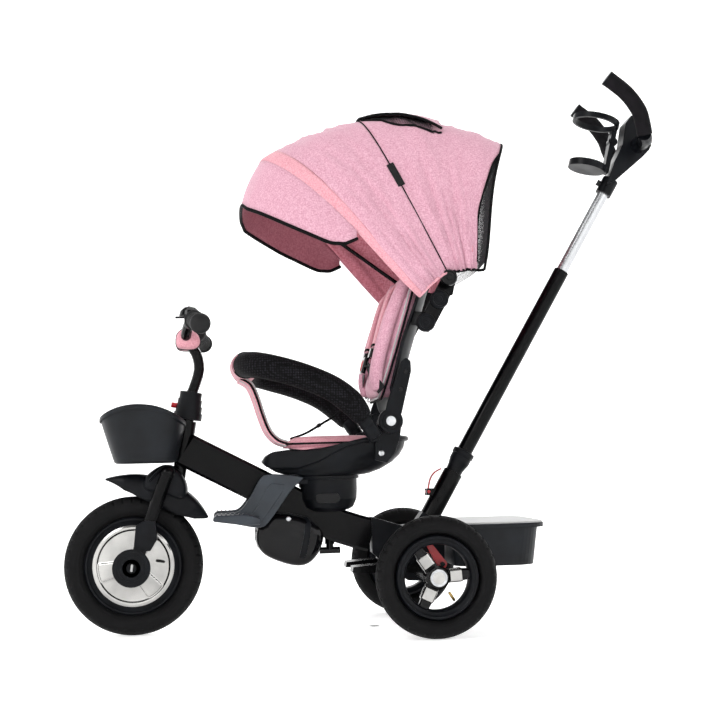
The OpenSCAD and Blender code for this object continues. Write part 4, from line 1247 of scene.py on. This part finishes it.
nets = join("canopy_net", [side_net(-1), side_net(1), back_net()])
follow(nets)
binding = [tape_along("bound", [canopy_point(65.3, v, 1.0, 0) for v in arch_steps], 2.6, 2.6)]
for side in (-1, 1):
    binding.append(tape_along("bound", [canopy_point(rear_edge(v), v * side, 1.4)
                                        for v in run_of(0.44, 0.975, 40)], 2.2, 1.8))
    hem_run = [canopy_point(a, HEM * side, 0.5) for a in run_of(REAR_BOW, MID_BOW, 20)]
    binding.append(tape_along("bound", hem_run, 2.4, 2.8))
bound = join("canopy_rear_binding", binding)
follow(bound)
front_hems = []
for side in (-1, 1):
    front_hems.append(tape_along("bound", [canopy_point(a, HEM * side, 0.5)
                                           for a in run_of(MID_BOW, 143.5, 12)], 2.0, 2.4, PALE_PINK))
follow(join("canopy_front_hems", front_hems))


def vent_flap():
    """Flap of the top vent, propped open along its near edge over a bound net window."""
    grid, lip = [], []
    for a in run_of(90, 115, 20):
        share = (a - 90) / 25
        open_by = 10 * math.sin(math.pi * (0.12 + 0.8 * share)) ** 0.8
        near = -0.40 + 0.21 * share
        grid.append([canopy_point(a, v, 3 + open_by * max(0.0, (0.16 - v) / (0.16 - near)) ** 1.6, 1.0)
                     for v in run_of(near, 0.16, 14)])
        lip.append(canopy_point(a, near - 0.09 * math.sin(math.pi * share) ** 0.7, 2.2))
    flap = loft("canopy_flap_canvas", [[place(*p) for p in row] for row in grid], PINK, closed=False,
                soft=True)
    area = cut_area(flap)
    thicken(flap, 1.6, offset=0, inside=LINING, edge=TAPE)
    outline = [row[0] for row in grid] + grid[-1][1:-1] + [row[-1] for row in reversed(grid)]
    trim = [sweep("bound", outline, 2.8, 2.4, TAPE, across=UP, sides=12, domed=True),
            sweep("bound", lip, 2.4, 2.2, TAPE, across=UP, sides=12, domed=True)]
    window = [[place(*canopy_point(a, v + 0.2 * (a - 90) / 25, 2.4)) for v in run_of(-0.46, -0.16, 22)]
              for a in run_of(93, 112, 26)]
    return flap, join("canopy_flap_binding", trim), net("canopy_vent_net", window), area


flap, flap_trim, vent_net, flap_area = vent_flap()
follow(flap)
follow(flap_trim)
follow(vent_net)

# Bosses of the canopy arms, with their bolts, and the strap round the backrest
for side, word in SIDES:
    parts = []
    for at, r, y in (((549, 570), 17, 140), ((575, 613), 17, 141), ((590, 650), 15, 166)):
        steps = [(0.1, side * (y + 5)), (r * 0.3, side * (y + 5)), (r * 0.34, side * (y + 3.6)),
                 (r * 0.7, side * (y + 3.6)), (r * 0.74, side * (y + 5.4)), (r * 0.94, side * (y + 5)),
                 (r, side * (y + 3)), (r, side * (y - 8))]
        parts.append(lathe("boss", steps, at, GLOSS_ABS if y > 150 else SATIN_ABS, steps=44))
    fit(join(f"canopy_bosses_{word}", parts), "backrest", "black_plastic")
    band = [on_back(f, side * yy, u) for f, yy, u in ((-12, 120, 196), (4, 126, 200), (14, 104, 204),
                                                      (16, 60, 206))]
    fit(strip(f"backrest_band_{word}", band, 26, 2.2, WEBBING, across=(0.3, 0, 1)), "backrest",
        "black_webbing")

# ---------- parent handle ----------

HORN = [(997, -103, 938), (991, -110, 960), (983, -112, 985), (959, -112, 1018), (922, -112, 1047.5)]
for side, word in SIDES:
    run = curve_through(mirrored(HORN, -side), 7)
    run = [Vector(p) for p in run]
    foam = sweep("foam", run[:-1], 15, 15, FOAM, sides=36)
    end = run[-1] - run[-2]
    plug = sweep("plug", [run[-2], run[-1] - end * 0.05, run[-1], run[-1] + end.normalized() * 0.4],
                 lambda t: 15.6 - 2.5 * t ** 3, lambda t: 15.6 - 2.5 * t ** 3, SATIN_ABS, sides=36)
    fit(join(f"handle_foam_{word}", [foam, plug]), "upper_pole", "foam_grip",
        *(["handle_grips"] if side < 0 else []))

# ---------- studio ----------

def studio():
    """Pale floor that curves up into a low round wall, so that it has no horizon."""
    profile = [(0.01, 0), (1.5, 0), (2.6, 0), (3.4, 0.02), (3.9, 0.22), (4.25, 0.7), (4.4, 1.6), (4.45, 3.0)]
    rings = [[Vector((r * math.cos(math.pi * k / 36), r * math.sin(math.pi * k / 36), z)) for r, z in profile]
             for k in range(73)]
    floor = loft("studio_floor", rings, FLOOR_PAINT, closed=False, soft=True)
    weld(floor.data)
    subdivide(floor, 1)


def soft_light(name, at, aim, size, power):
    data = bpy.data.lights.new(name, "AREA")
    data.shape = "DISK"
    data.size = size
    data.energy = power
    light = bpy.data.objects.new(name, data)
    light.location = at
    light.rotation_euler = (Vector(aim) - Vector(at)).to_track_quat("-Z", "Y").to_euler()
    bpy.context.collection.objects.link(light)


studio()
soft_light("key_light", (-2.5, -2.0, 2.8), (0, 0, 0.4), 1.6, 50)
soft_light("fill_light", (2.3, -2.4, 1.7), (0.1, 0, 0.5), 1.8, 7)
soft_light("top_light", (0.1, 0.5, 3.0), (0, 0, 0.3), 2.4, 30)
soft_light("back_light", (0.6, 2.8, 2.2), (0, 0, 0.5), 2.0, 30)
world = bpy.data.worlds.new("studio_air")
world.use_nodes = True
world.node_tree.nodes["Background"].inputs["Color"].default_value = linear("#ffffff")
world.node_tree.nodes["Background"].inputs["Strength"].default_value = 0.24
bpy.context.scene.world = world
bpy.context.scene.view_settings.view_transform = "Standard"
